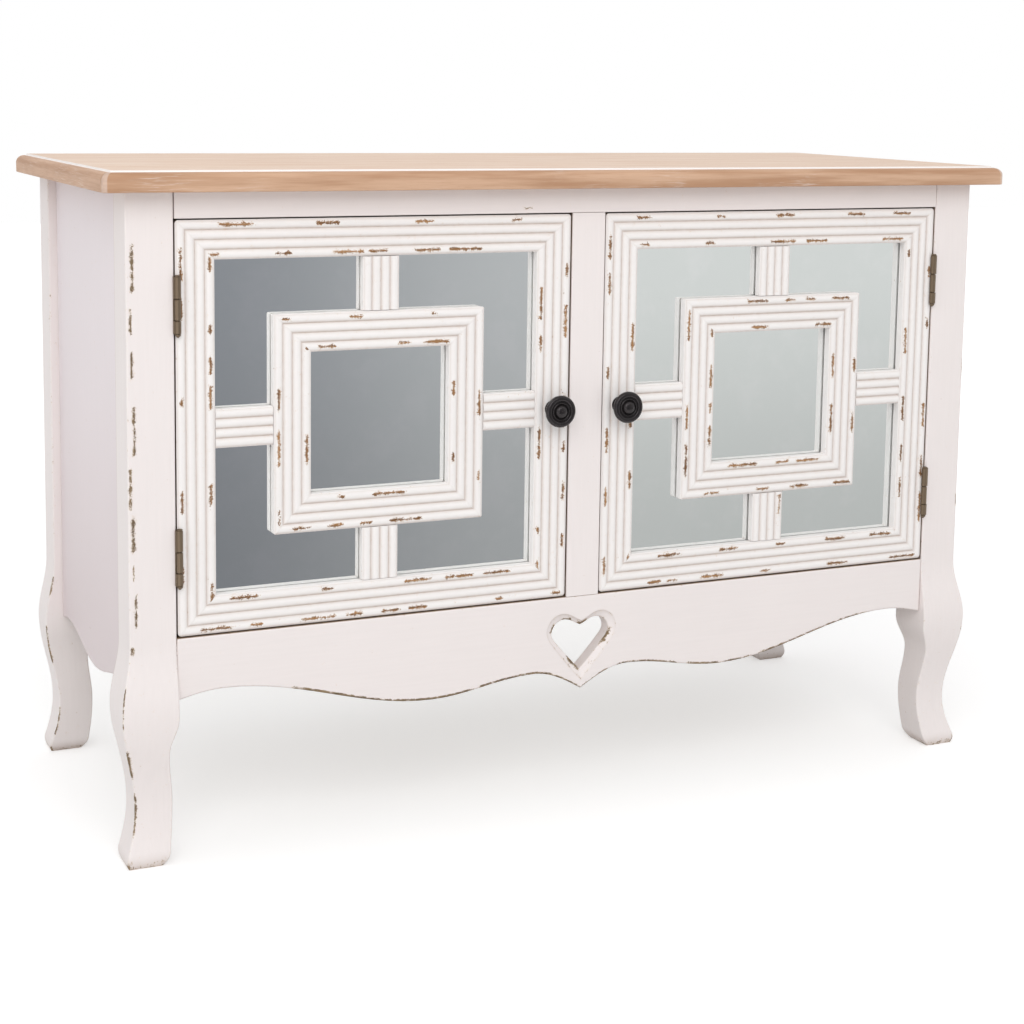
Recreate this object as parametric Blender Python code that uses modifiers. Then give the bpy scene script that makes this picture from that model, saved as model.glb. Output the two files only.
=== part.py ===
"""A painted sideboard: two mirrored doors between four cabriole posts, under a washed oak top.

Units are metres and +Z is up. The front faces -Y, the floor is Z = 0, and the origin is at the
middle of the footprint. A value called side is -1 for the left and 1 for the right.
"""

import math

import bmesh
import bpy
from mathutils import Vector

# Clearances
SEAT_GAP = 0.0003
CUT_OVERRUN = 0.004
DOOR_GAP = 0.0016

# Carcass
BODY_WIDTH = 1.044
BODY_DEPTH = 0.430
CARCASS_HEIGHT = 0.7085
POST_WIDTH = 0.0498
FRONT_POST_DEPTH = 0.050
BACK_POST_DEPTH = 0.046
POST_ARRIS = 0.0016
CENTRE_STILE_WIDTH = 0.0404
FRONT_THICKNESS = 0.022
TOP_RAIL_HEIGHT = 0.0278
APRON_TOP_HEIGHT = 0.242

# Top panel and its thumbnail edge
TOP_THICKNESS = 0.022
TOP_OVERHANG = 0.028
TOP_EDGE_RADIUS = 0.0085
TOP_EDGE_STEP = 0.0012
TOP_CORNER_CUT = 0.0030
TOP_EDGE_FACETS = 5

# Cabriole legs: the turning heights of the show faces, and how far those faces move there
LEG_START_HEIGHT = 0.238
KNEE_HEIGHT = 0.166
KNEE_BULGE = 0.0105
ANKLE_HEIGHT = 0.062
ANKLE_TUCK = 0.0048
TOE_FLARE = 0.0080

# The same for the inner faces, which are only cut back
WAIST_START_HEIGHT = 0.158
WAIST_HEIGHT = 0.120
WAIST_TUCK = 0.0090
SHIN_HEIGHT = 0.065
SHIN_TUCK = 0.0045
HEEL_TUCK = 0.0130
BACK_LEG_TUCK_SHARE = 0.5
FOOT_BEVEL_HEIGHT = 0.012
FOOT_BEVEL_INSET = 0.008
LEG_SECTIONS = 18

# Scrolled lower edge of the apron: distances from the middle, and heights there
APRON_TIP_HEIGHT = 0.1327
APRON_INNER_CREST = 0.060
APRON_INNER_CREST_HEIGHT = 0.1557
APRON_LOBE = 0.184
APRON_LOBE_HEIGHT = 0.1412
APRON_OUTER_CREST = 0.422
APRON_OUTER_CREST_HEIGHT = 0.1830
APRON_END_HEIGHT = 0.1750
SCROLL_FACETS = 7

# Heart cut-out and the slope round its front edge. The outline is the right half, from the notch
# to the tip, in shares of half the width and of the height
HEART_WIDTH = 0.080
HEART_HEIGHT = 0.069
HEART_TIP_HEIGHT = 0.1474
HEART_SLOPE_WIDTH = 0.0045
HEART_SLOPE_TOP = 0.0060
HEART_SLOPE_BOTTOM = 0.0042
HEART_SLOPE_DEPTH = 0.0028
HEART_OUTLINE_SHARES = (
    (0, 0.87), (0.17, 0.92), (0.34, 0.972), (0.52, 1), (0.7, 0.985), (0.85, 0.932),
    (0.95, 0.856), (1, 0.765), (0.985, 0.688), (0.92, 0.61), (0.79, 0.515), (0.6, 0.383),
    (0.4, 0.25), (0.2, 0.12), (0, 0),
)

# Side panels
SIDE_SETBACK = 0.010
SIDE_THICKNESS = 0.012
SIDE_TONGUE_THICKNESS = 0.006
SIDE_TONGUE_LENGTH = 0.008
SIDE_TONGUE_BOTTOM = 0.200
SIDE_TONGUE_TOP_MARGIN = 0.008
SIDE_LOBE_HEIGHT = 0.1525
SIDE_CREST = 0.128
SIDE_CREST_HEIGHT = 0.1770
SIDE_END_HEIGHT = 0.1710

# Back rails, back panel, bottom board and shelf
BACK_RAIL_THICKNESS = 0.018
BOTTOM_BACK_RAIL_HEIGHT = 0.044
BACK_PANEL_THICKNESS = 0.005
BACK_PANEL_SETBACK = 0.001
BACK_PANEL_LAP = 0.0075
BACK_PANEL_TOP_MARGIN = 0.006
BOARD_THICKNESS = 0.016
APRON_REBATE = 0.005
SHELF_TOP_HEIGHT = 0.470
SHELF_SETBACK = 0.036
SHELF_HOUSING_DEPTH = 0.004

# Stub tenons
TENON_LENGTH = 0.018
TENON_THICKNESS = 0.008
TENON_SHOULDER = 0.006
APRON_TENON_BOTTOM = 0.190
APRON_TENON_TOP = 0.232
STILE_TENON_LENGTH = 0.011
STILE_TENON_WIDTH = 0.028

# Doors
DOOR_THICKNESS = 0.021
DOOR_FRAME_WIDTH = 0.041
MIRROR_SETBACK = 0.012
MIRROR_THICKNESS = 0.004
MIRROR_REBATE = 0.009
MIRROR_CLEARANCE = 0.001
BACKING_THICKNESS = 0.004
REED_COUNT = 4
REED_DEPTH = 0.0028
REED_FACETS = 6
SQUARE_WIDTH = 0.240
SQUARE_HEIGHT = 0.235
SQUARE_FRAME_WIDTH = 0.041
BAR_WIDTH = 0.041
BAR_SETBACK = 0.0012

# Knobs: the outline is in shares of the radius and of the projection, from the tip to the rose
KNOB_PROJECTION = 0.030
KNOB_RADIUS = 0.017
KNOB_FACETS = 18
KNOB_ROSE_SHARE = 0.56
KNOB_OUTLINE_SHARES = (
    (0.35, 0.98), (0.53, 0.947), (0.62, 0.907), (0.665, 0.867), (0.718, 0.867), (0.765, 0.9),
    (0.88, 0.887), (0.965, 0.847), (1, 0.787), (1, 0.717), (0.953, 0.667), (0.82, 0.633),
    (0.44, 0.5), (0.365, 0.4), (0.365, 0.2), (0.41, 0.11), (KNOB_ROSE_SHARE, 0.093),
)

# Butt hinges, measured from the axis of the pin where no other place is named
HINGE_LENGTH = 0.059
HINGE_BOTTOM_INSET = 0.0555
HINGE_TOP_INSET = 0.057
HINGE_PROUD = 0.0032
HINGE_FROM_DOOR_EDGE = 0.0014
HINGE_FACETS = 12
KNUCKLE_RADIUS = 0.0034
KNUCKLE_BORE_RADIUS = 0.0018
TOP_KNUCKLE_SHARE = 0.39
BOTTOM_KNUCKLE_SHARE = 0.23
LEAF_THICKNESS = 0.0012
LEAF_REACH = 0.0196
DOOR_LEAF_START = 0.0038
DOOR_TAB_START = 0.0024
POST_LEAF_START = 0.0024
POST_TAB_START = -0.0010
PIN_RADIUS = 0.0014
PIN_CAP_RADIUS = 0.0030
PIN_CAP_HEIGHT = 0.0012
PIN_TIP_RADIUS = 0.0024
PIN_TIP_HEIGHT = 0.0036
LEAF_HOLE_RADIUS = 0.0020
LEAF_HOLE_SETBACK = 0.0117
LEAF_HOLE_MARGIN = 0.012
LEAF_HOLE_FACETS = 10

# Double magnetic catch under the top front rail, and a strike plate on each door
CATCH_WIDTH = 0.084
CATCH_DEPTH = 0.018
CATCH_HEIGHT = 0.013
CATCH_ARRIS = 0.001
STRIKE_WIDTH = 0.016
STRIKE_HEIGHT = 0.014
STRIKE_THICKNESS = 0.0012
STRIKE_FROM_DOOR_EDGE = 0.0095
STRIKE_BELOW_DOOR_TOP = 0.009

# Places worked out from the sizes above
FRONT_Y = (max(KNOB_PROJECTION, TOP_OVERHANG) - BODY_DEPTH) / 2
BACK_Y = FRONT_Y + BODY_DEPTH
HALF_BODY = BODY_WIDTH / 2
POST_INNER = HALF_BODY - POST_WIDTH
RAIL_REACH = POST_INNER - SEAT_GAP
RAIL_TOP = CARCASS_HEIGHT - SEAT_GAP
RAIL_BOTTOM = RAIL_TOP - TOP_RAIL_HEIGHT
SIDE_FRONT = FRONT_Y + FRONT_POST_DEPTH
SIDE_BACK = BACK_Y - BACK_POST_DEPTH
SIDE_MIDDLE = HALF_BODY - SIDE_SETBACK - SIDE_THICKNESS / 2
SIDE_INNER = SIDE_MIDDLE - SIDE_THICKNESS / 2
PANEL_BACK = BACK_Y - BACK_PANEL_SETBACK
PANEL_FRONT = PANEL_BACK - BACK_PANEL_THICKNESS
BACK_RAIL_BACK = PANEL_FRONT - SEAT_GAP
BACK_RAIL_FRONT = BACK_RAIL_BACK - BACK_RAIL_THICKNESS
BACK_RAIL_MIDDLE = (BACK_RAIL_FRONT + BACK_RAIL_BACK) / 2
BOARD_BOTTOM = APRON_TOP_HEIGHT - BOARD_THICKNESS
LOW_RAIL_TOP = BOARD_BOTTOM - SEAT_GAP
LOW_RAIL_BOTTOM = LOW_RAIL_TOP - BOTTOM_BACK_RAIL_HEIGHT
PANEL_TOP = RAIL_TOP - BACK_PANEL_TOP_MARGIN
STILE_MIDDLE = FRONT_Y + FRONT_THICKNESS / 2
DOOR_OUTER = POST_INNER - DOOR_GAP
DOOR_INNER = CENTRE_STILE_WIDTH / 2 + DOOR_GAP
DOOR_WIDTH = DOOR_OUTER - DOOR_INNER
DOOR_MIDDLE = (DOOR_OUTER + DOOR_INNER) / 2
DOOR_BOTTOM = APRON_TOP_HEIGHT + DOOR_GAP
DOOR_TOP = RAIL_BOTTOM - DOOR_GAP
DOOR_HEIGHT = DOOR_TOP - DOOR_BOTTOM
DOOR_LEVEL = (DOOR_TOP + DOOR_BOTTOM) / 2
KNOB_X = DOOR_INNER + DOOR_FRAME_WIDTH / 2
HINGE_X = DOOR_OUTER - HINGE_FROM_DOOR_EDGE
HINGE_Y = FRONT_Y - HINGE_PROUD
DOOR_BACK = FRONT_Y + DOOR_THICKNESS
STRIKE_FRONT = DOOR_BACK + SEAT_GAP
STRIKE_BACK = STRIKE_FRONT + STRIKE_THICKNESS
STRIKE_X = DOOR_INNER + STRIKE_FROM_DOOR_EDGE
STRIKE_LEVEL = DOOR_TOP - STRIKE_BELOW_DOOR_TOP
CATCH_FRONT = STRIKE_BACK + SEAT_GAP
CATCH_TOP = RAIL_BOTTOM - SEAT_GAP
CATCH_BOTTOM = CATCH_TOP - CATCH_HEIGHT

COLLECTION_NAME = "sideboard"
CUTTERS_NAME = "cutters"
LEFT = -1
RIGHT = 1
SIDES = ((LEFT, "left"), (RIGHT, "right"))
NO_OFFSET = (0, 0, 0)
QUARTER_TURN = math.pi / 2
TO_FRONT = (QUARTER_TURN, 0, 0)


# Scene and materials

def clear_scene():
    for old_object in list(bpy.data.objects):
        bpy.data.objects.remove(old_object, do_unlink=True)
    for name in (COLLECTION_NAME, CUTTERS_NAME):
        collection = bpy.data.collections.new(name)
        bpy.context.scene.collection.children.link(collection)


def make_material(name, colour, roughness, metallic=0):
    material = bpy.data.materials.new(name)
    material.use_nodes = True
    shader = material.node_tree.nodes["Principled BSDF"]
    shader.inputs["Base Color"].default_value = (*colour, 1)
    shader.inputs["Roughness"].default_value = roughness
    shader.inputs["Metallic"].default_value = metallic


def make_materials():
    """Colour, roughness and metallic value of each finish."""
    make_material("carcass_paint", (0.83, 0.79, 0.77), 0.55)
    make_material("door_paint", (0.88, 0.86, 0.84), 0.50)
    make_material("washed_oak", (0.78, 0.62, 0.47), 0.60)
    make_material("inner_board", (0.70, 0.64, 0.57), 0.65)
    make_material("mirror_glass", (0.85, 0.88, 0.88), 0.03, 1)
    make_material("backing_fibreboard", (0.32, 0.21, 0.13), 0.80)
    make_material("aged_bronze", (0.20, 0.14, 0.09), 0.42, 1)
    make_material("black_iron", (0.035, 0.035, 0.037), 0.38, 1)
    make_material("zinc_steel", (0.62, 0.61, 0.58), 0.35, 1)
    make_material("catch_plastic", (0.60, 0.57, 0.52), 0.50)


# Objects and meshes

def add_object(name, data, finish, location=NO_OFFSET, rotation=NO_OFFSET):
    """Put an object with the sideboard's pieces, or with the cutters when it has no finish."""
    added = bpy.data.objects.new(name, data)
    added.location = location
    added.rotation_euler = rotation
    home = COLLECTION_NAME if finish else CUTTERS_NAME
    bpy.data.collections[home].objects.link(added)
    if finish:
        data.materials.append(bpy.data.materials[finish])
    else:
        added.hide_render = True
        added.display_type = "WIRE"
    return added


def mesh_from(name, shape):
    bmesh.ops.recalc_face_normals(shape, faces=shape.faces)
    mesh = bpy.data.meshes.new(name)
    shape.to_mesh(mesh)
    shape.free()
    return mesh


def box(name, low, high, finish=None):
    """A block between two opposite corners, with its origin at its centre."""
    low, high = Vector(low), Vector(high)
    shape = bmesh.new()
    bmesh.ops.create_cube(shape, size=1)
    bmesh.ops.scale(shape, vec=high - low, verts=shape.verts)
    return add_object(name, mesh_from(name, shape), finish, (low + high) / 2)


def loft(name, rings, finish, location=NO_OFFSET, rotation=NO_OFFSET):
    """Closed solid through rings that have equal numbers of points."""
    shape = bmesh.new()
    rows = [[shape.verts.new(point) for point in ring] for ring in rings]
    for lower, upper in zip(rows, rows[1:]):
        for index, corner in enumerate(lower):
            after = (index + 1) % len(lower)
            shape.faces.new((corner, lower[after], upper[after], upper[index]))
    shape.faces.new(rows[0])
    shape.faces.new(rows[-1])
    return add_object(name, mesh_from(name, shape), finish, location, rotation)


def turned(name, profile, facets, finish=None, location=NO_OFFSET, rotation=NO_OFFSET):
    """Revolve (radius, height) points about Z; they run from the top down the outer side."""
    mesh = bpy.data.meshes.new(name)
    points = [(radius, 0, height) for radius, height in profile]
    edges = [(index, index + 1) for index in range(len(points) - 1)]
    mesh.from_pydata(points, edges, [])
    result = add_object(name, mesh, finish, location, rotation)
    screw = result.modifiers.new("turn", "SCREW")
    screw.steps = facets
    screw.render_steps = facets
    screw.use_merge_vertices = True
    screw.merge_threshold = SEAT_GAP / 10
    screw.use_smooth_shade = False
    return result


def flat_board(name, outlines, thickness, finish, location, rotation=NO_OFFSET):
    """Board of even thickness from closed outlines in its own XY plane; an inner one is a hole."""
    curve = bpy.data.curves.new(name, "CURVE")
    curve.dimensions = "2D"
    curve.fill_mode = "BOTH"
    curve.extrude = thickness / 2
    for outline in outlines:
        spline = curve.splines.new("POLY")
        spline.points.add(len(outline) - 1)
        for point, (x, y) in zip(spline.points, outline):
            point.co = (x, y, 0, 1)
        spline.use_cyclic_u = True
    drawing = add_object(f"{name}_outline", curve, None, location, rotation)
    bpy.context.view_layer.update()
    graph = bpy.context.evaluated_depsgraph_get()
    board = bpy.data.meshes.new_from_object(drawing.evaluated_get(graph))
    shape = bmesh.new()
    shape.from_mesh(board)
    bmesh.ops.remove_doubles(shape, verts=shape.verts, dist=SEAT_GAP / 10)
    bpy.data.meshes.remove(board)
    bpy.data.curves.remove(curve)
    return add_object(name, mesh_from(name, shape), finish, location, rotation)


def boolean(target, tool, operation):
    modifier = target.modifiers.new(tool.name, "BOOLEAN")
    modifier.operation = operation
    modifier.solver = "EXACT"
    modifier.object = tool


def cut(target, *tools):
    for tool in tools:
        boolean(target, tool, "DIFFERENCE")


def join(target, *tools):
    for tool in tools:
        boolean(target, tool, "UNION")


def grown(corners):
    """Corners of a box moved outwards by the seat gap on every side."""
    margin = Vector((SEAT_GAP, SEAT_GAP, SEAT_GAP))
    return Vector(corners[0]) - margin, Vector(corners[1]) + margin


def mirrored(side, corners):
    """Corners given for the right-hand side, taken to the side that is asked for."""
    (x_low, y_low, z_low), (x_high, y_high, z_high) = corners
    xs = sorted((side * x_low, side * x_high))
    return (xs[0], y_low, z_low), (xs[1], y_high, z_high)


# Curves that several pieces follow

def smooth(share):
    return (1 - math.cos(share * math.pi)) / 2


def flat_start(share):
    return 1 - math.cos(share * QUARTER_TURN)


def flat_end(share):
    return math.sin(share * QUARTER_TURN)


def follow(stations, position):
    """Value of an outline at a position, from stations of (position, value, how it gets there)."""
    previous = stations[0]
    for station in stations[1:]:
        if position <= station[0]:
            share = max(position - previous[0], 0) / (station[0] - previous[0])
            return previous[1] + (station[1] - previous[1]) * station[2](share)
        previous = station
    return previous[1]


def scroll_outline(stations, top):
    """Board with a straight top and both halves of a scrolled lower edge."""
    half = [stations[0][:2]]
    for previous, station in zip(stations, stations[1:]):
        for index in range(1, SCROLL_FACETS + 1):
            position = previous[0] + (station[0] - previous[0]) * index / SCROLL_FACETS
            half.append((position, follow(stations, position)))
    reach = stations[-1][0]
    lower = [(-x, z) for x, z in reversed(half[1:])] + half
    return lower + [(reach, top), (-reach, top)]


# Posts with their cabriole legs

def leg_bulge(height):
    """How far the show faces stand out from the straight post."""
    stations = (
        (0, TOE_FLARE, smooth),
        (ANKLE_HEIGHT, -ANKLE_TUCK, flat_end),
        (KNEE_HEIGHT, KNEE_BULGE, smooth),
        (LEG_START_HEIGHT, 0, smooth),
    )
    return follow(stations, height)


def leg_tuck(height):
    """How far the inner faces are cut back from the straight post."""
    stations = (
        (0, HEEL_TUCK, smooth),
        (SHIN_HEIGHT, SHIN_TUCK, flat_end),
        (WAIST_HEIGHT, WAIST_TUCK, smooth),
        (WAIST_START_HEIGHT, 0, smooth),
    )
    return follow(stations, height)


def post_extent(height, front, inset=0):
    """Inner and outer X, and low and high Y, of a right-hand post at a height."""
    bulge, tuck = leg_bulge(height), leg_tuck(height)
    x_inner = POST_INNER + tuck + inset
    x_outer = HALF_BODY + bulge - inset
    if front:
        return x_inner, x_outer, FRONT_Y - bulge + inset, SIDE_FRONT - tuck - inset
    return x_inner, x_outer, SIDE_BACK + tuck * BACK_LEG_TUCK_SHARE + inset, BACK_Y - inset


def section(x_low, x_high, y_low, y_high, height, arris):
    """Rectangle with small flats on its corners, as eight points at one height."""
    return [
        Vector((x_low + arris, y_low, height)), Vector((x_high - arris, y_low, height)),
        Vector((x_high, y_low + arris, height)), Vector((x_high, y_high - arris, height)),
        Vector((x_high - arris, y_high, height)), Vector((x_low + arris, y_high, height)),
        Vector((x_low, y_high - arris, height)), Vector((x_low, y_low + arris, height)),
    ]


def build_post(side, side_name, front):
    """Straight post and leg in one piece, with the underside of the foot bevelled."""
    stages = [(0, FOOT_BEVEL_INSET), (FOOT_BEVEL_HEIGHT / 2, FOOT_BEVEL_INSET / 3)]
    for index in range(LEG_SECTIONS + 1):
        climb = (LEG_START_HEIGHT - FOOT_BEVEL_HEIGHT) * index / LEG_SECTIONS
        stages.append((FOOT_BEVEL_HEIGHT + climb, 0))
    stages.append((RAIL_TOP, 0))
    corner = Vector((side * HALF_BODY, FRONT_Y if front else BACK_Y, 0))
    rings = []
    for height, inset in stages:
        x_inner, x_outer, y_low, y_high = post_extent(height, front, inset)
        x_low, x_high = sorted((side * x_inner, side * x_outer))
        ring = section(x_low, x_high, y_low, y_high, height, POST_ARRIS)
        rings.append([point - corner for point in ring])
    place = "front" if front else "back"
    return loft(f"{place}_{side_name}_post", rings, "carcass_paint", corner)


# Joints that two pieces share, as the corners of a tenon, tongue or rebate

def rail_tenon(side, y_middle, z_low, z_high):
    return mirrored(side, (
        (POST_INNER - CUT_OVERRUN, y_middle - TENON_THICKNESS / 2, z_low),
        (POST_INNER + TENON_LENGTH, y_middle + TENON_THICKNESS / 2, z_high)))


def top_front_tenon(side):
    y_middle = FRONT_Y + FRONT_POST_DEPTH / 2
    return rail_tenon(side, y_middle, RAIL_BOTTOM + TENON_SHOULDER, RAIL_TOP - TENON_SHOULDER)


def apron_tenon(side):
    return rail_tenon(side, STILE_MIDDLE, APRON_TENON_BOTTOM, APRON_TENON_TOP)


def top_back_tenon(side):
    return rail_tenon(side, BACK_RAIL_MIDDLE, RAIL_BOTTOM + TENON_SHOULDER, RAIL_TOP - TENON_SHOULDER)


def low_back_tenon(side):
    z_low, z_high = LOW_RAIL_BOTTOM + TENON_SHOULDER, LOW_RAIL_TOP - TENON_SHOULDER
    return rail_tenon(side, BACK_RAIL_MIDDLE, z_low, z_high)


def stile_tenon(end):
    """Stub tenon of the centre stile, at its top where end is 1 and its bottom where it is -1."""
    shoulder = RAIL_BOTTOM if end > 0 else APRON_TOP_HEIGHT
    z_low, z_high = sorted((shoulder - end * CUT_OVERRUN, shoulder + end * STILE_TENON_LENGTH))
    return ((-STILE_TENON_WIDTH / 2, STILE_MIDDLE - TENON_THICKNESS / 2, z_low),
            (STILE_TENON_WIDTH / 2, STILE_MIDDLE + TENON_THICKNESS / 2, z_high))


def side_tongue(side, front):
    """Tongue along one upright edge of a side panel."""
    shoulder, outward = (SIDE_FRONT, -1) if front else (SIDE_BACK, 1)
    y_low, y_high = sorted((shoulder - outward * CUT_OVERRUN, shoulder + outward * SIDE_TONGUE_LENGTH))
    half = SIDE_TONGUE_THICKNESS / 2
    return mirrored(side, ((SIDE_MIDDLE - half, y_low, SIDE_TONGUE_BOTTOM),
                           (SIDE_MIDDLE + half, y_high, RAIL_TOP - SIDE_TONGUE_TOP_MARGIN)))


def shelf_end(side):
    """End of the shelf that is let into a side panel."""
    bottom = SHELF_TOP_HEIGHT - BOARD_THICKNESS
    return mirrored(side, ((SIDE_INNER - CUT_OVERRUN, SIDE_FRONT - CUT_OVERRUN, bottom),
                           (SIDE_INNER + SHELF_HOUSING_DEPTH, SIDE_BACK + CUT_OVERRUN, SHELF_TOP_HEIGHT)))


def back_rebate(side):
    """Rebate along a back post, open to the back and to the inside, for the back panel."""
    return mirrored(side, (
        (POST_INNER - CUT_OVERRUN, PANEL_FRONT - SEAT_GAP, LOW_RAIL_BOTTOM - SEAT_GAP),
        (POST_INNER + BACK_PANEL_LAP + SEAT_GAP, BACK_Y + CUT_OVERRUN, PANEL_TOP + SEAT_GAP)))


def add_tenons(piece, *tenons):
    for index, corners in enumerate(tenons):
        join(piece, box(f"{piece.name}_tenon_{index}", *corners))


def cut_mortises(piece, *tenons):
    for index, corners in enumerate(tenons):
        cut(piece, box(f"{piece.name}_mortise_{index}", *grown(corners)))


# Carcass

def build_posts():
    for side, side_name in SIDES:
        post = build_post(side, side_name, True)
        cut_mortises(post, top_front_tenon(side), apron_tenon(side), side_tongue(side, True))
        post = build_post(side, side_name, False)
        cut_mortises(post, top_back_tenon(side), low_back_tenon(side), side_tongue(side, False))
        cut(post, box(f"{side_name}_back_rebate", *back_rebate(side)))


def build_rail(name, y_low, y_high, z_low, z_high, tenon):
    rail = box(name, (-RAIL_REACH, y_low, z_low), (RAIL_REACH, y_high, z_high), "carcass_paint")
    add_tenons(rail, tenon(LEFT), tenon(RIGHT))
    return rail


def build_rails():
    front = build_rail("top_front_rail", FRONT_Y, SIDE_FRONT, RAIL_BOTTOM, RAIL_TOP, top_front_tenon)
    cut_mortises(front, stile_tenon(1))
    build_rail("top_back_rail", BACK_RAIL_FRONT, BACK_RAIL_BACK, RAIL_BOTTOM, RAIL_TOP, top_back_tenon)
    build_rail("bottom_back_rail", BACK_RAIL_FRONT, BACK_RAIL_BACK, LOW_RAIL_BOTTOM, LOW_RAIL_TOP,
               low_back_tenon)


def build_centre_stile():
    half = CENTRE_STILE_WIDTH / 2
    stile = box("centre_stile", (-half, FRONT_Y, APRON_TOP_HEIGHT + SEAT_GAP),
                (half, FRONT_Y + FRONT_THICKNESS, RAIL_BOTTOM - SEAT_GAP), "carcass_paint")
    add_tenons(stile, stile_tenon(1), stile_tenon(-1))


def heart_ring(y, slope_share):
    """Heart at a distance into the apron: 1 is the wide end of the slope and 0 the hole itself."""
    reach = HEART_WIDTH / 2 + HEART_SLOPE_WIDTH * slope_share
    tip = HEART_TIP_HEIGHT - HEART_SLOPE_BOTTOM * slope_share
    height = HEART_HEIGHT + (HEART_SLOPE_BOTTOM + HEART_SLOPE_TOP) * slope_share
    right = [Vector((across * reach, y, tip + up * height)) for across, up in HEART_OUTLINE_SHARES]
    left = [Vector((-point.x, point.y, point.z)) for point in reversed(right[1:-1])]
    return right + left


def heart_cutter():
    depths = ((-CUT_OVERRUN, 1), (0, 1), (HEART_SLOPE_DEPTH, 0), (FRONT_THICKNESS + CUT_OVERRUN, 0))
    return loft("heart_cutter", [heart_ring(FRONT_Y + depth, share) for depth, share in depths], None)


def build_apron():
    """Front apron with its scrolled edge, the heart, and a rebate for the bottom board."""
    stations = (
        (0, APRON_TIP_HEIGHT, smooth),
        (APRON_INNER_CREST, APRON_INNER_CREST_HEIGHT, flat_end),
        (APRON_LOBE, APRON_LOBE_HEIGHT, smooth),
        (APRON_OUTER_CREST, APRON_OUTER_CREST_HEIGHT, smooth),
        (RAIL_REACH, APRON_END_HEIGHT, flat_start),
    )
    outline = scroll_outline(stations, APRON_TOP_HEIGHT)
    apron = flat_board("front_apron", (outline,), FRONT_THICKNESS, "carcass_paint", (0, STILE_MIDDLE, 0),
                       TO_FRONT)
    cut(apron, heart_cutter())
    add_tenons(apron, apron_tenon(LEFT), apron_tenon(RIGHT))
    back = FRONT_Y + FRONT_THICKNESS
    cut(apron, box("apron_rebate", (-HALF_BODY, back - APRON_REBATE, BOARD_BOTTOM - SEAT_GAP),
                   (HALF_BODY, back + CUT_OVERRUN, APRON_TOP_HEIGHT + CUT_OVERRUN)))
    cut_mortises(apron, stile_tenon(-1))


def build_side_panels():
    """Side panels with a scrolled lower edge and a tongue on each upright edge."""
    reach = (SIDE_BACK - SIDE_FRONT) / 2 - SEAT_GAP
    stations = (
        (0, SIDE_LOBE_HEIGHT, smooth),
        (SIDE_CREST, SIDE_CREST_HEIGHT, smooth),
        (reach, SIDE_END_HEIGHT, flat_start),
    )
    outline = scroll_outline(stations, RAIL_TOP)
    for side, side_name in SIDES:
        place = (side * SIDE_MIDDLE, (SIDE_FRONT + SIDE_BACK) / 2, 0)
        panel = flat_board(f"{side_name}_side_panel", (outline,), SIDE_THICKNESS, "carcass_paint", place,
                           (QUARTER_TURN, 0, QUARTER_TURN))
        add_tenons(panel, side_tongue(side, True), side_tongue(side, False))
        cut_mortises(panel, shelf_end(side))


def build_notched_board(name, front, top, wide):
    """Board from a front edge to the back panel, notched round the four posts."""
    notch_front, notch_back = SIDE_FRONT + SEAT_GAP, SIDE_BACK - SEAT_GAP
    back = PANEL_FRONT - SEAT_GAP
    right = [(RAIL_REACH, front), (RAIL_REACH, notch_front), (wide, notch_front),
             (wide, notch_back), (RAIL_REACH, notch_back), (RAIL_REACH, back)]
    left = [(-x, y) for x, y in reversed(right)]
    flat_board(name, (right + left,), BOARD_THICKNESS, "inner_board", (0, 0, top - BOARD_THICKNESS / 2))


def build_inside():
    """Bottom board in the apron's rebate, shelf let into the side panels, and the back panel."""
    rebate_front = FRONT_Y + FRONT_THICKNESS - APRON_REBATE
    housed_reach = SIDE_INNER + SHELF_HOUSING_DEPTH
    build_notched_board("bottom_board", rebate_front + SEAT_GAP, APRON_TOP_HEIGHT, SIDE_INNER - SEAT_GAP)
    build_notched_board("shelf", FRONT_Y + SHELF_SETBACK, SHELF_TOP_HEIGHT, housed_reach)
    reach = POST_INNER + BACK_PANEL_LAP
    box("back_panel", (-reach, PANEL_FRONT, LOW_RAIL_BOTTOM), (reach, PANEL_BACK, PANEL_TOP), "inner_board")


def top_ring(height, inset):
    """Outline of the top at a height, drawn in from its edge."""
    reach = HALF_BODY + TOP_OVERHANG - inset
    return section(-reach, reach, FRONT_Y - TOP_OVERHANG + inset, BACK_Y - inset, height, TOP_CORNER_CUT)


def build_top_panel():
    """Top with a flat edge, a quarter round above it, and a small step up to the face."""
    face = CARCASS_HEIGHT + TOP_THICKNESS
    round_top = face - TOP_EDGE_STEP
    rings = [top_ring(CARCASS_HEIGHT, 0)]
    for index in range(TOP_EDGE_FACETS + 1):
        turn = QUARTER_TURN * index / TOP_EDGE_FACETS
        height = round_top - TOP_EDGE_RADIUS * (1 - math.sin(turn))
        rings.append(top_ring(height, TOP_EDGE_RADIUS * (1 - math.cos(turn))))
    step_inset = TOP_EDGE_RADIUS + TOP_EDGE_STEP
    rings.append(top_ring(round_top, step_inset))
    rings.append(top_ring(face, step_inset))
    loft("top_panel", rings, "washed_oak")


def build_catch():
    """Magnetic catch under the top front rail, wide enough for both doors."""
    catch = box("door_catch", (-CATCH_WIDTH / 2, CATCH_FRONT, CATCH_BOTTOM),
                (CATCH_WIDTH / 2, CATCH_FRONT + CATCH_DEPTH, CATCH_TOP), "catch_plastic")
    arris = catch.modifiers.new("arris", "BEVEL")
    arris.width = CATCH_ARRIS
    arris.segments = 1


# Hinges

def hinge_levels():
    """Middle height of the lower and of the upper hinge."""
    half = HINGE_LENGTH / 2
    return DOOR_BOTTOM + HINGE_BOTTOM_INSET + half, DOOR_TOP - HINGE_TOP_INSET - half


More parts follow.
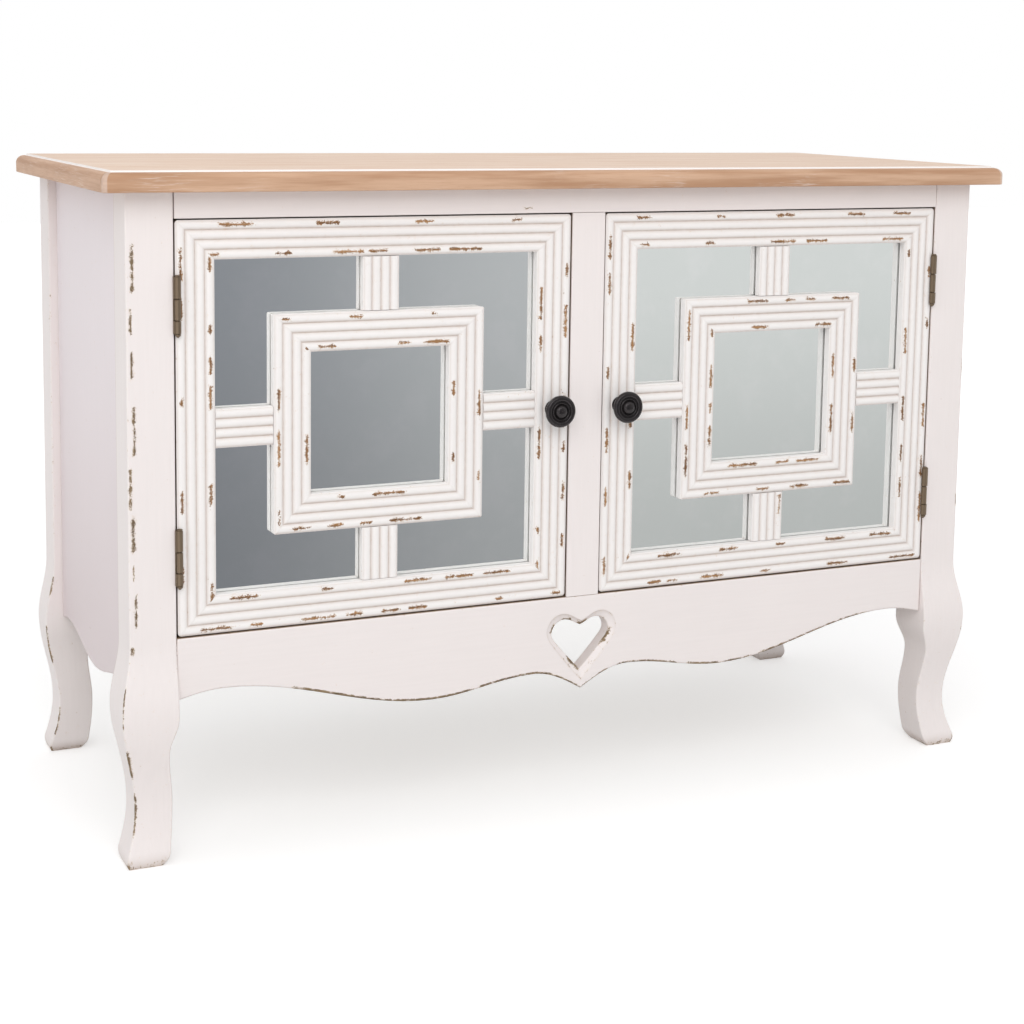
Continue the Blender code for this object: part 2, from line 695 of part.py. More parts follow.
def knuckle_spans():
    """Bottom and top of the three knuckles from the hinge's middle: the middle one is the door's."""
    end, half_gap = HINGE_LENGTH / 2, SEAT_GAP / 2
    lower = HINGE_LENGTH * BOTTOM_KNUCKLE_SHARE - end
    upper = end - HINGE_LENGTH * TOP_KNUCKLE_SHARE
    return (-end, lower - half_gap), (lower + half_gap, upper - half_gap), (upper + half_gap, end)


def axis_cylinder(name, side, level, radius, low, high):
    """Cylinder on the axis of a hinge, between two heights from the hinge's middle."""
    profile = ((0, high), (radius, high), (radius, low), (0, low))
    return turned(name, profile, HINGE_FACETS, None, (side * HINGE_X, HINGE_Y, level))


def leaf_outline(start, tab_start, knuckles):
    """Leaf with a tab to each knuckle, as (distance behind the axis, height) points."""
    end = HINGE_LENGTH / 2
    points = [(LEAF_REACH, -end), (LEAF_REACH, end), (start, end)]
    for low, high in reversed(knuckles):
        low, high = low + SEAT_GAP, high - SEAT_GAP
        points += [(start, high), (tab_start, high), (tab_start, low), (start, low)]
    return points + [(start, -end)]


def screw_holes():
    """Round holes near both ends of a leaf, as outlines."""
    holes = []
    for direction in (-1, 1):
        height = direction * (HINGE_LENGTH / 2 - LEAF_HOLE_MARGIN)
        turns = [2 * math.pi * index / LEAF_HOLE_FACETS for index in range(LEAF_HOLE_FACETS)]
        holes.append([(LEAF_HOLE_SETBACK + LEAF_HOLE_RADIUS * math.cos(turn),
                       height + LEAF_HOLE_RADIUS * math.sin(turn)) for turn in turns])
    return holes


def build_leaf(name, side, on_door, level):
    """One leaf: a plate, its knuckles, and a bore through them for the pin."""
    if on_door:
        x_middle = DOOR_OUTER - LEAF_THICKNESS / 2
        knuckles = knuckle_spans()[1:2]
        outline = leaf_outline(DOOR_LEAF_START, DOOR_TAB_START, knuckles)
    else:
        x_middle = POST_INNER + LEAF_THICKNESS / 2
        knuckles = knuckle_spans()[0::2]
        outline = leaf_outline(POST_LEAF_START, POST_TAB_START, knuckles)
    outlines = [outline, *screw_holes()]
    leaf = flat_board(name, outlines, LEAF_THICKNESS, "aged_bronze", (side * x_middle, HINGE_Y, level),
                      (QUARTER_TURN, 0, QUARTER_TURN))
    for low, high in knuckles:
        join(leaf, axis_cylinder(f"{name}_knuckle", side, level, KNUCKLE_RADIUS, low, high))
    reach = HINGE_LENGTH / 2 + CUT_OVERRUN
    cut(leaf, axis_cylinder(f"{name}_bore", side, level, KNUCKLE_BORE_RADIUS, -reach, reach))
    return leaf


def cut_leaf_mortise(wood, side, on_door, level):
    """Housing for a leaf, open to the front and to the gap beside the door."""
    near, far = DOOR_OUTER - LEAF_THICKNESS - SEAT_GAP, DOOR_OUTER + CUT_OVERRUN
    if not on_door:
        near, far = POST_INNER - CUT_OVERRUN, POST_INNER + LEAF_THICKNESS + SEAT_GAP
    reach = HINGE_LENGTH / 2 + SEAT_GAP
    corners = ((near, FRONT_Y - CUT_OVERRUN, level - reach),
               (far, HINGE_Y + LEAF_REACH + SEAT_GAP, level + reach))
    cut(wood, box(f"{wood.name}_leaf_mortise", *mirrored(side, corners)))


def build_pin(name, side, level):
    """Loose pin of a hinge, with a flat cap above and a pointed tip below."""
    cap, tip = HINGE_LENGTH / 2 + SEAT_GAP, -HINGE_LENGTH / 2 - SEAT_GAP
    profile = ((0, cap + PIN_CAP_HEIGHT), (PIN_CAP_RADIUS, cap + PIN_CAP_HEIGHT), (PIN_CAP_RADIUS, cap),
               (PIN_RADIUS, cap), (PIN_RADIUS, tip), (PIN_TIP_RADIUS, tip), (0, tip - PIN_TIP_HEIGHT))
    turned(name, profile, HINGE_FACETS, "aged_bronze", (side * HINGE_X, HINGE_Y, level))


def build_hinges(side, side_name, stile):
    """Both hinges of a door, let into its stile and into the post; returns the door's leaves."""
    post = bpy.data.objects[f"front_{side_name}_post"]
    door_leaves = []
    for place, level in zip(("lower", "upper"), hinge_levels()):
        door_leaves.append(build_leaf(f"{side_name}_door_{place}_hinge_leaf", side, True, level))
        build_leaf(f"{side_name}_post_{place}_hinge_leaf", side, False, level)
        build_pin(f"{side_name}_{place}_hinge_pin", side, level)
        cut_leaf_mortise(stile, side, True, level)
        cut_leaf_mortise(post, side, False, level)
    return door_leaves


# Doors

def reeded_outline(width, crest, back, rebate=0):
    """Reeded moulding as (distance from its outer edge, distance behind the front) points."""
    count = REED_COUNT * REED_FACETS
    points = []
    for index in range(count + 1):
        ridge = abs(math.sin(math.pi * index / REED_FACETS))
        points.append((width * index / count, crest + REED_DEPTH * (1 - ridge)))
    if rebate:
        points.extend(((width, MIRROR_SETBACK), (width - rebate, MIRROR_SETBACK), (width - rebate, back)))
    else:
        points.append((width, back))
    return points + [(0, back)]


def moulding(name, length, outline, mitred, place, turn):
    """Moulding along its own X, outer edge on the X axis, turned about Y to its side of a frame."""
    ends = []
    for end in (LEFT, RIGHT):
        ring = []
        for across, depth in outline:
            shortening = across + SEAT_GAP / math.sqrt(2) if mitred else 0
            ring.append((end * (length / 2 - shortening), depth, across))
        ends.append(ring)
    return loft(name, ends, "door_paint", place, (0, turn, 0))


def mitred_frame(names, x_middle, width, height, outline, side):
    """Four mitred members: hinge side, latch side, top and bottom."""
    hinge_name, latch_name, top_name, bottom_name = names
    half = side * width / 2
    turn = -side * QUARTER_TURN
    return (
        moulding(hinge_name, height, outline, True, (x_middle + half, FRONT_Y, DOOR_LEVEL), turn),
        moulding(latch_name, height, outline, True, (x_middle - half, FRONT_Y, DOOR_LEVEL), -turn),
        moulding(top_name, width, outline, True, (x_middle, FRONT_Y, DOOR_LEVEL + height / 2), math.pi),
        moulding(bottom_name, width, outline, True, (x_middle, FRONT_Y, DOOR_LEVEL - height / 2), 0),
    )


def build_lattice(side, prefix):
    """Square frame in the middle of the mirror, and the four bars that hold it to the door frame."""
    x_middle = side * DOOR_MIDDLE
    outline = reeded_outline(SQUARE_FRAME_WIDTH, 0, MIRROR_SETBACK)
    names = [f"{prefix}_square_{part}" for part in ("hinge_side", "latch_side", "top", "bottom")]
    pieces = list(mitred_frame(names, x_middle, SQUARE_WIDTH, SQUARE_HEIGHT, outline, side))
    outline = reeded_outline(BAR_WIDTH, BAR_SETBACK, MIRROR_SETBACK)
    reach = DOOR_WIDTH / 2 - DOOR_FRAME_WIDTH
    for part, direction in (("hinge_bar", side), ("latch_bar", -side)):
        x = x_middle + direction * (reach + SQUARE_WIDTH / 2) / 2
        length = reach - SQUARE_WIDTH / 2 - 2 * SEAT_GAP
        place = (x, FRONT_Y, DOOR_LEVEL - BAR_WIDTH / 2)
        pieces.append(moulding(f"{prefix}_{part}", length, outline, False, place, 0))
    reach = DOOR_HEIGHT / 2 - DOOR_FRAME_WIDTH
    for part, direction in (("upper_bar", 1), ("lower_bar", -1)):
        z = DOOR_LEVEL + direction * (reach + SQUARE_HEIGHT / 2) / 2
        length = reach - SQUARE_HEIGHT / 2 - 2 * SEAT_GAP
        place = (x_middle - BAR_WIDTH / 2, FRONT_Y, z)
        pieces.append(moulding(f"{prefix}_{part}", length, outline, False, place, QUARTER_TURN))
    return pieces


def build_glazing(side, prefix):
    """Mirror in the door's rebate, and the board that backs it."""
    opening = DOOR_FRAME_WIDTH - MIRROR_REBATE + MIRROR_CLEARANCE
    x_low, x_high = sorted((side * (DOOR_INNER + opening), side * (DOOR_OUTER - opening)))
    mirror_front = FRONT_Y + MIRROR_SETBACK + SEAT_GAP
    mirror_back = mirror_front + MIRROR_THICKNESS
    board_front = mirror_back + SEAT_GAP
    mirror = box(f"{prefix}_mirror", (x_low, mirror_front, DOOR_BOTTOM + opening),
                 (x_high, mirror_back, DOOR_TOP - opening), "mirror_glass")
    board = box(f"{prefix}_backing_board", (x_low, board_front, DOOR_BOTTOM + opening),
                (x_high, board_front + BACKING_THICKNESS, DOOR_TOP - opening), "backing_fibreboard")
    return [mirror, board]


def build_knob(side, prefix):
    """Turned knob with a ringed face, on the middle of the latch stile."""
    profile = [(0, KNOB_PROJECTION)]
    profile += [(KNOB_RADIUS * across, KNOB_PROJECTION * out) for across, out in KNOB_OUTLINE_SHARES]
    profile += [(KNOB_RADIUS * KNOB_ROSE_SHARE, SEAT_GAP), (0, SEAT_GAP)]
    place = (side * KNOB_X, FRONT_Y, DOOR_LEVEL)
    return turned(f"{prefix}_knob", profile, KNOB_FACETS, "black_iron", place, TO_FRONT)


def build_strike(side, prefix):
    """Steel plate for the catch, on the back of the door's upper latch corner."""
    corners = ((STRIKE_X - STRIKE_WIDTH / 2, STRIKE_FRONT, STRIKE_LEVEL - STRIKE_HEIGHT / 2),
               (STRIKE_X + STRIKE_WIDTH / 2, STRIKE_BACK, STRIKE_LEVEL + STRIKE_HEIGHT / 2))
    return box(f"{prefix}_strike_plate", *mirrored(side, corners), "zinc_steel")


def hang(pieces, pivot):
    """Parent a door's pieces, with what cuts them, to the empty on the hinge axis."""
    followers = list(pieces)
    for piece in pieces:
        tools = [modifier.object for modifier in piece.modifiers if modifier.type == "BOOLEAN"]
        followers.extend(tool for tool in tools if tool not in followers)
    for follower in followers:
        follower.location = follower.location - pivot.location
        follower.parent = pivot


def build_door(side, side_name):
    prefix = f"{side_name}_door"
    outline = reeded_outline(DOOR_FRAME_WIDTH, 0, DOOR_THICKNESS, MIRROR_REBATE)
    names = [f"{prefix}_{part}" for part in ("hinge_stile", "latch_stile", "top_rail", "bottom_rail")]
    frame = mitred_frame(names, side * DOOR_MIDDLE, DOOR_WIDTH, DOOR_HEIGHT, outline, side)
    pieces = [*frame, *build_lattice(side, prefix), *build_glazing(side, prefix)]
    pieces += build_hinges(side, side_name, frame[0])
    pieces += [build_knob(side, prefix), build_strike(side, prefix)]
    pivot = bpy.data.objects.new(f"{prefix}_pivot", None)
    pivot.location = (side * HINGE_X, HINGE_Y, DOOR_LEVEL)
    bpy.data.collections[COLLECTION_NAME].objects.link(pivot)
    hang(pieces, pivot)


def build_sideboard():
    clear_scene()
    make_materials()
    build_posts()
    build_rails()
    build_centre_stile()
    build_apron()
    build_side_panels()
    build_inside()
    build_top_panel()
    build_catch()
    for side, side_name in SIDES:
        build_door(side, side_name)


build_sideboard()
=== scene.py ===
# %% [markdown]
# # A painted sideboard with mirrored doors
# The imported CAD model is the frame. This lesson dresses it: worn white paint, a washed wood top,
# reeded door frames over mirrors, and the small ironwork. Lengths are in metres; materials and
# rows of chips count in millimetres. The front faces -Y and the floor is Z = 0.

import math
import random

import bmesh
import bpy
from mathutils import Matrix, Vector


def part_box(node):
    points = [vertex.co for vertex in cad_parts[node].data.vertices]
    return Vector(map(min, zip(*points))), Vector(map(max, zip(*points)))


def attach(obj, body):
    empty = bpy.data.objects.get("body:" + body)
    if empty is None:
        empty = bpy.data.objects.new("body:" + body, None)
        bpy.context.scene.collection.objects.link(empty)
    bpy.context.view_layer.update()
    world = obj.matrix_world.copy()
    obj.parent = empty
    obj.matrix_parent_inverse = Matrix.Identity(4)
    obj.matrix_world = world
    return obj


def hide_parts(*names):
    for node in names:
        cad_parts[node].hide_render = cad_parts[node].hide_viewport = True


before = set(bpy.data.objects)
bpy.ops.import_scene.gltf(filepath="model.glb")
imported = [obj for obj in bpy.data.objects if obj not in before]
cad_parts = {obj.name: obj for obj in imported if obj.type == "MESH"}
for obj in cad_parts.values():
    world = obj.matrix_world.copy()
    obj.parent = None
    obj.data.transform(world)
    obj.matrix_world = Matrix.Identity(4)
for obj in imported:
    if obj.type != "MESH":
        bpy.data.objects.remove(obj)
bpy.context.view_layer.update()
MM = 0.001
LEFT, RIGHT = -1, 1
SIDES = ((LEFT, "left"), (RIGHT, "right"))

# %% [markdown]
# ## Places that the pieces share
# Boxes of the CAD nodes say where each piece begins and ends. Typing the places in again would
# work too, but they would drift apart as soon as the model changes. The overhang of the top, the
# depths of the posts and the small gap at joints are named, because no box gives them.

# %% Places from the CAD nodes
TOP_OVERHANG = 0.028
FRONT_POST_DEPTH, BACK_POST_DEPTH = 0.050, 0.046
SEAT_GAP = 0.0003
front_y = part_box("front_apron")[0].y
top_low, top_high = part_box("top_panel")
rail_low, rail_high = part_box("top_front_rail")
stile_low, stile_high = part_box("centre_stile")
HALF_BODY = top_high.x - TOP_OVERHANG
POST_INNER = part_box("front_right_post")[0].x
SIDE_FRONT = front_y + FRONT_POST_DEPTH
SIDE_BACK = top_high.y - BACK_POST_DEPTH
BACK_Y = top_high.y
RAIL_LOW, RAIL_TOP = rail_low.z, rail_high.z
apron_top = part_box("front_apron")[1].z
DOOR_LOW = {side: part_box(f"{name}_door_bottom_rail")[0] for side, name in SIDES}
DOOR_HIGH = {side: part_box(f"{name}_door_top_rail")[1] for side, name in SIDES}
print("front", round(front_y, 4), "carcass half width", round(HALF_BODY, 4))

# %% [markdown]
# ## The camera
# It stands where the photographer's did, to the left and just above the top. A constraint could
# aim it but would keep it level, and the photograph is tilted by nearly a degree. So three angles
# give its directions.

# %% The photograph's camera
def add_camera():
    yaw, pitch, roll = -0.4393, -0.1298, 0.0153
    forward = Vector((-math.sin(yaw) * math.cos(pitch), math.cos(yaw) * math.cos(pitch), math.sin(pitch)))
    level = Vector((math.cos(yaw), math.sin(yaw), 0))
    upright = level.cross(forward)
    across = level * math.cos(roll) + upright * math.sin(roll)
    upward = upright * math.cos(roll) - level * math.sin(roll)
    data = bpy.data.cameras.new("photo_camera")
    data.lens = 68.77
    data.shift_x, data.shift_y = -0.0197, -0.1684
    data.clip_start = 0.05
    camera = bpy.data.objects.new("photo_camera", data)
    place = Matrix((across, upward, -forward)).transposed().to_4x4()
    place.translation = (-0.9838, -2.1480, 0.8212)
    camera.matrix_world = place
    bpy.context.scene.collection.objects.link(camera)
    bpy.context.scene.camera = camera


add_camera()
print("camera at", tuple(round(value, 3) for value in bpy.context.scene.camera.matrix_world.translation))

# %% [markdown]
# ## Writing materials as sums
# Each finish is a tree of nodes. Linking them one by one is clear for three nodes and unreadable
# for thirty. A `Wire` is one output socket, and adding or multiplying wires adds the nodes that
# work it out, so a finish reads as a sum.

# %% The Wire class
class Wire:
    """One output socket of a material; arithmetic on it adds Math or Vector Math nodes."""

    def __init__(self, tree, socket):
        self.tree = tree
        self.socket = socket

    def feed(self, socket, value):
        if isinstance(value, Wire):
            self.tree.links.new(value.socket, socket)
        elif socket.type == "RGBA":
            socket.default_value = (*value, 1)
        elif socket.type == "VECTOR" and not isinstance(value, tuple):
            socket.default_value = (value, value, value)
        else:
            socket.default_value = value

    def node(self, kind, settings=None, sockets=None, output=0):
        """Any other node: its settings, and its sockets by name or number."""
        node = self.tree.nodes.new(kind)
        for name, value in (settings or {}).items():
            setattr(node, name, value)
        for name, value in (sockets or {}).items():
            self.feed(node.inputs[name], value)
        return Wire(self.tree, node.outputs[output])

    def sum_of(self, operation, first, second):
        wires = [term for term in (first, second) if isinstance(term, Wire)]
        vector = any(isinstance(term, tuple) for term in (first, second))
        vector = vector or any(wire.socket.type != "VALUE" for wire in wires)
        kind = "ShaderNodeVectorMath" if vector else "ShaderNodeMath"
        return self.node(kind, {"operation": operation}, {0: first, 1: second})

    def __add__(self, other):
        return self.sum_of("ADD", self, other)

    def __radd__(self, other):
        return self.sum_of("ADD", other, self)

    def __sub__(self, other):
        return self.sum_of("SUBTRACT", self, other)

    def __rsub__(self, other):
        return self.sum_of("SUBTRACT", other, self)

    def __mul__(self, other):
        return self.sum_of("MULTIPLY", self, other)

    def __rmul__(self, other):
        return self.sum_of("MULTIPLY", other, self)

    def most(self, other):
        return self.sum_of("MAXIMUM", self, other)

    def smooth(self, low, high):
        """0 below low, 1 above high, and a soft step between."""
        settings = {"interpolation_type": "SMOOTHSTEP"}
        return self.node("ShaderNodeMapRange", settings, {0: self, 1: low, 2: high, 3: 0.0, 4: 1.0})

    def mix(self, first, second):
        """First colour where this is 0, second where it is 1."""
        return self.node("ShaderNodeMix", {"data_type": "RGBA"}, {0: self, 6: first, 7: second}, 2)

    def noise(self, scale, detail=3.0, roughness=0.5):
        sockets = {"Vector": self, "Scale": scale, "Detail": detail, "Roughness": roughness}
        return self.node("ShaderNodeTexNoise", None, sockets)

    def attribute(self, name):
        return self.node("ShaderNodeAttribute", {"attribute_name": name}, None, 2)

    def part(self, number):
        """X, Y or Z of a vector, for 0, 1 or 2."""
        return self.node("ShaderNodeSeparateXYZ", None, {0: self}, number)


def tone(red, green, blue):
    """Linear colour from the screen values of 0 to 255 that it shows."""
    shares = [value / 255 for value in (red, green, blue)]
    return tuple(share / 12.92 if share <= 0.04045 else ((share + 0.055) / 1.055) ** 2.4 for share in shares)


def start_material(name):
    """New material, its shader, and the place on the piece in millimetres."""
    made = bpy.data.materials.new(name)
    made.use_nodes = True
    tree = made.node_tree
    shader = tree.nodes["Principled BSDF"]
    place = Wire(tree, tree.nodes.new("ShaderNodeTexCoord").outputs["Object"]) * 1000.0
    return made, shader, place


def connect(place, shader, height_mm=None, strength=0.5, **wires):
    for name, value in wires.items():
        place.feed(shader.inputs[name.replace("_", " ").title()], value)
    if height_mm is not None:
        sockets = {"Strength": strength, "Distance": MM, "Height": height_mm}
        place.feed(shader.inputs["Normal"], place.node("ShaderNodeBump", None, sockets))


print("white paint reads as", [round(value, 3) for value in tone(240, 234, 230)])

# %% [markdown]
# ## Worn paint
# The real paint is brushed on, rubbed through on the edges, and wiped with a brown glaze that stays
# in the grooves. A painted image could show that, but each piece would have to be unwrapped for
# it. Two numbers stored on each point steer it instead: `wear`, where brown wood may show, and a
# second one where the glaze gathers, which is also raised for a brown painted shade in the gaps
# beside the doors. Noise breaks their edges up.

# %% Paint
# The glaze colour is real glaze in the grooves and also painted shade on downward faces and in gaps; the
# brown after it is painted shade in the gaps beside the doors.
GLAZE_AND_SHADE, GAP_SHADE_BROWN, RUBBED_RIM = tone(204, 189, 180), tone(140, 116, 96), tone(232, 206, 178)


def paint(name, tint, strokes, woods, shaded_low_tint=None):
    """Brushed paint. A glaze number of 1 is glaze in a groove, and 2 a brown painted shade in a gap
    beside a door. Downward faces, and a low tint towards the floor, add painted shade.
    """
    made, shader, place = start_material(name)
    if shaded_low_tint:
        tint = place.part(2).smooth(120, 690).mix(shaded_low_tint, tint)
    patches = place.noise(0.15, 2.0, 0.5)
    crumbs = place.noise(0.8, 3.0, 0.6)
    clouds = place.noise(0.007, 2.0)
    brush = (place * strokes).noise(1.0, 4.0, 0.6)
    normal = place.node("ShaderNodeNewGeometry", None, None, 1)
    # Faces that look down take some glaze colour: painted shade, as if lit from above.
    downward_shade = (0.0 - normal.part(2)).smooth(0.15, 0.75)
    worn = place.attribute("wear") + (patches - 0.5) * 1.2 + (crumbs - 0.5) * 1.9
    chip = worn.smooth(0.60, 0.64)
    rim = worn.smooth(0.34, 0.60)
    grime_and_shade_amount = place.attribute("grime_and_shade")
    wood = brush.smooth(0.40, 0.62).mix(*woods)
    colour = (clouds * 0.04 + brush * 0.06 + 0.95) * tint
    colour = ((grime_and_shade_amount + downward_shade * 0.4) * (brush * 0.5 + patches * 0.5 + 0.35)).mix(colour, GLAZE_AND_SHADE)
    # Brown painted shade in the gaps beside the doors, where the stored glaze number passes 1.
    colour = (grime_and_shade_amount - 1.0).smooth(0.0, 0.8).mix(colour, GAP_SHADE_BROWN)
    colour = (rim * 0.45).mix(colour, RUBBED_RIM)
    colour = chip.mix(colour, wood)
    height = brush * 0.10 + crumbs * 0.03 - chip * 0.30
    connect(place, shader, height, 0.55, base_color=colour, roughness=brush * 0.16 + chip * 0.3 + 0.38)
    return made


UPRIGHT = (0.30, 0.30, 0.012)
LEVEL = (0.012, 0.30, 0.30)
CARCASS_TINT, DOOR_TINT = tone(242, 234, 232), tone(247, 243, 241)
CARCASS_WOODS = (tone(106, 86, 62), tone(150, 128, 98))
DOOR_WOODS = (tone(116, 80, 48), tone(172, 128, 84))
carcass_upright = paint("carcass paint, brushed upright", CARCASS_TINT, UPRIGHT, CARCASS_WOODS)
carcass_level = paint("carcass paint, brushed along", CARCASS_TINT, LEVEL, CARCASS_WOODS)
# The side panels take a cooler copy of the carcass paint that darkens towards the floor, as painted shade on
# the side.
side_paint_shaded_below = paint("side paint, painted shade below", tone(242, 233, 236), UPRIGHT, CARCASS_WOODS,
                   tone(224, 211, 212))
door_upright = paint("door paint, brushed upright", DOOR_TINT, UPRIGHT, DOOR_WOODS)
door_level = paint("door paint, brushed along", DOOR_TINT, LEVEL, DOOR_WOODS)
print("paints", [made.name for made in bpy.data.materials if "paint," in made.name])

# %% [markdown]
# ## Washed wood and boards
# The top is oak under a thin wash of lime. Its face is paler than its moulded edge, and the lime
# lies thickest on the small step between them. Noise that is stretched along one axis is grain,
# where a wave texture would give bands that are too even. The hidden boards are plainer and share
# one function.

# %% Washed wood
def washed_wood(name, along, across):
    """Pale face and browner edge; grime is 1 on the edge, and wear 1 where lime is thick."""
    made, shader, place = start_material(name)
    bands = (place * along).noise(1.0, 4.0, 0.55)
    fibres = (place * across).noise(1.0, 3.0, 0.7)
    clouds = place.noise(0.012, 2.0)
    face = bands.smooth(0.36, 0.64).mix(tone(240, 215, 194), tone(228, 195, 169))
    edge = bands.smooth(0.34, 0.66).mix(tone(211, 172, 142), tone(182, 138, 105))
    colour = place.attribute("grime_and_shade").mix(face, edge)
    colour = (fibres.smooth(0.50, 0.72) * 0.35).mix(colour, tone(178, 130, 98))
    lime = (1.0 - fibres).smooth(0.48, 0.68) * clouds.smooth(0.42, 0.60) * 0.35
    limed = (lime + place.attribute("wear") * (fibres * 0.3 + 0.85)).smooth(0.05, 0.95)
    colour = limed.mix(colour, tone(252, 247, 244))
    height = bands * 0.10 - fibres * 0.10
    connect(place, shader, height, 0.45, base_color=colour, roughness=fibres * 0.2 + 0.42)
    return made


def board(name, light, dark, streaks, roughness):
    made, shader, place = start_material(name)
    grain = (place * streaks).noise(1.0, 5.0, 0.6)
    specks = place.noise(0.8, 3.0, 0.7)
    colour = (grain * 0.7 + specks * 0.3).smooth(0.35, 0.65).mix(light, dark)
    height = grain * 0.08 + specks * 0.05
    connect(place, shader, height, 0.5, base_color=colour, roughness=specks * 0.15 + roughness)
    return made


washed_along = washed_wood("washed oak, grain along", (0.005, 0.085, 0.085), (0.035, 1.1, 1.1))
washed_across = washed_wood("washed oak, grain across", (0.085, 0.005, 0.085), (1.1, 0.035, 1.1))
inner_board = board("thinly painted board", tone(226, 219, 210), tone(208, 197, 184),
                    (0.01, 0.35, 0.35), 0.55)
fibreboard = board("brown fibreboard", tone(158, 124, 94), tone(128, 96, 70), (0.25, 0.25, 0.25), 0.72)
print("woods ready")

# %% [markdown]
# ## Metals, mirror and plastic
# The hinges and their screws are aged bronze with lighter blotches, the knobs are smooth black
# iron, and the other screws, the nails and the strike plates are zinc. Each could be built by
# itself, but they differ only in colour, polish and how metallic they are. So one function makes
# them, and the catch's plastic too. The mirror's silver has a faint haze of its own.

# %% Metals, mirror and plastic
def metal(name, dark, light, roughness, metallic=1.0, stretch=0.25):
    made, shader, place = start_material(name)
    blotches = (place * stretch).noise(1.0, 4.0, 0.6)
    grit = place.noise(1.6, 2.0, 0.6)
    rubbed = (place.attribute("wear") + (blotches - 0.5) * 1.2).smooth(0.15, 0.8)
    connect(place, shader, blotches * 0.05 + grit * 0.03, 0.4, base_color=rubbed.mix(dark, light),
            roughness=blotches * 0.25 + roughness)
    shader.inputs["Metallic"].default_value = metallic
    return made


def silvered(name):
    made, shader, place = start_material(name)
    haze = place.noise(0.02, 3.0, 0.6).smooth(0.45, 0.75)
    connect(place, shader, base_color=haze.mix((0.93, 0.955, 0.95), (0.965, 0.98, 0.98)),
            roughness=haze * 0.02 + 0.012)
    shader.inputs["Metallic"].default_value = 1.0
    return made


mirror_silver = silvered("mirror silver")
bronze = metal("aged bronze", tone(122, 106, 88), tone(196, 176, 150), 0.34, 0.8, (1.2, 1.2, 0.12))
iron = metal("black iron", tone(50, 46, 47), tone(92, 86, 86), 0.06, 0.6)
zinc = metal("zinc plate", tone(176, 176, 174), tone(204, 203, 198), 0.28)
plastic = metal("catch plastic", tone(208, 200, 186), tone(218, 211, 198), 0.40, 0.0)
magnet = metal("magnet plates", tone(120, 120, 122), tone(150, 150, 150), 0.35)
print("metals ready")

# %% [markdown]
# ## Skins from rings
# The real pieces are sawn, planed and moulded. Modifiers on a box could round them, but a modifier
# can't know where paint wears off. So every carved piece is a closed skin through rings, and a
# ring is a list of (point, wear, grime and painted shade).

# %% Skins
def new_shape():
    """Empty mesh whose points can carry wear, glaze and painted shade."""
    shape = bmesh.new()
    shape.verts.layers.float.new("wear")
    shape.verts.layers.float.new("grime_and_shade")
    return shape


def join_rings(shape, rings):
    """Faces through rings of (point, wear, glaze and shade); gives the first and the last row of points."""
    wear, grime_and_shade = shape.verts.layers.float["wear"], shape.verts.layers.float["grime_and_shade"]
    rows = []
    for ring in rings:
        row = [shape.verts.new(point) for point, _, _ in ring]
        for corner, (_, worn, grime_and_shade_level) in zip(row, ring):
            corner[wear], corner[grime_and_shade] = worn, grime_and_shade_level
        rows.append(row)
    for lower, upper in zip(rows, rows[1:]):
        for index, corner in enumerate(lower):
            after = (index + 1) % len(lower)
            shape.faces.new((corner, lower[after], upper[after], upper[index]))
    return rows[0], rows[-1]


def skin(rings):
    """Closed skin through rings, with a face over each end."""
    shape = new_shape()
    for row in join_rings(shape, rings):
        shape.faces.new(row)
    return shape


CHIP_DEPTH = 0.006
FULL_WEAR = 0.80


def faded(distance, reach):
    """Wear at a distance from a rubbed line: full near it, and none past one and a half reaches."""
    return FULL_WEAR * (1 - max(distance / reach - 0.4, 0) / 1.1)


def chance_stretches(draw, length, gaps, stretches):
    """Pairs (from, to) along a length, with gaps and stretches drawn from ranges, in millimetres."""
    rows, end = [], 0.0
    while True:
        start = end + draw.uniform(*gaps)
        end = start + draw.uniform(*stretches)
        if end > length:
            return rows
        rows.append((start, end))


def mark_stretches(shape, rows):
    """Rub the front plane between pairs of (x, z) places, over a reach; all in millimetres."""
    wear = shape.verts.layers.float["wear"]
    front = [corner for corner in shape.verts if corner.co.y < front_y + CHIP_DEPTH]
    for x0, z0, x1, z1, reach in rows:
        start = Vector((x0, z0)) * MM
        run = Vector((x1, z1)) * MM - start
        for corner in front:
            along = Vector((corner.co.x, corner.co.z)) - start
            share = max(0.0, min(1.0, along.dot(run) / run.length_squared))
            corner[wear] = max(corner[wear], faded((along - run * share).length, reach * MM))


def place_object(name, shape):
    """New object made of a shape, linked into the scene."""
    mesh = bpy.data.meshes.new(name)
    shape.to_mesh(mesh)
    shape.free()
    made = bpy.data.objects.new(name, mesh)
    bpy.context.scene.collection.objects.link(made)
    return made


def add_piece(name, shape, body, slot, finishes, *nodes):
    """Finished piece: smooth shading, on its body and in place of its nodes."""
    bmesh.ops.recalc_face_normals(shape, faces=shape.faces)
    added = place_object(name, shape)
    added.data.shade_smooth()
    added.data.set_sharp_from_angle(angle=math.radians(40))
    for finish in finishes:
        added.data.materials.append(finish)
    weighted = added.modifiers.new("flat faces stay flat", "WEIGHTED_NORMAL")
    weighted.keep_sharp = True
    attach(added, body)
    if nodes:
        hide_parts(*nodes)
    return added


def steps(length, ends, spacing):
    """Distances along a length: the given ones from each end, and even ones between."""
    middle = length - 2 * ends[-1]
    count = max(1, round(middle / spacing))
    between = [ends[-1] + middle * index / count for index in range(count + 1)]
    return list(ends[:-1]) + between + [length - value for value in reversed(ends[:-1])]


print("ring tools ready")

# %% [markdown]
# ## Posts and cabriole legs
# Each post is one piece of wood with its leg. The show faces swell at the knee and draw in at the
# ankle, and the inner faces are only cut back. A subdivided cage would give softer curves than
# the sawn ones. Here a few stations give the outline, and half and quarter waves join them.

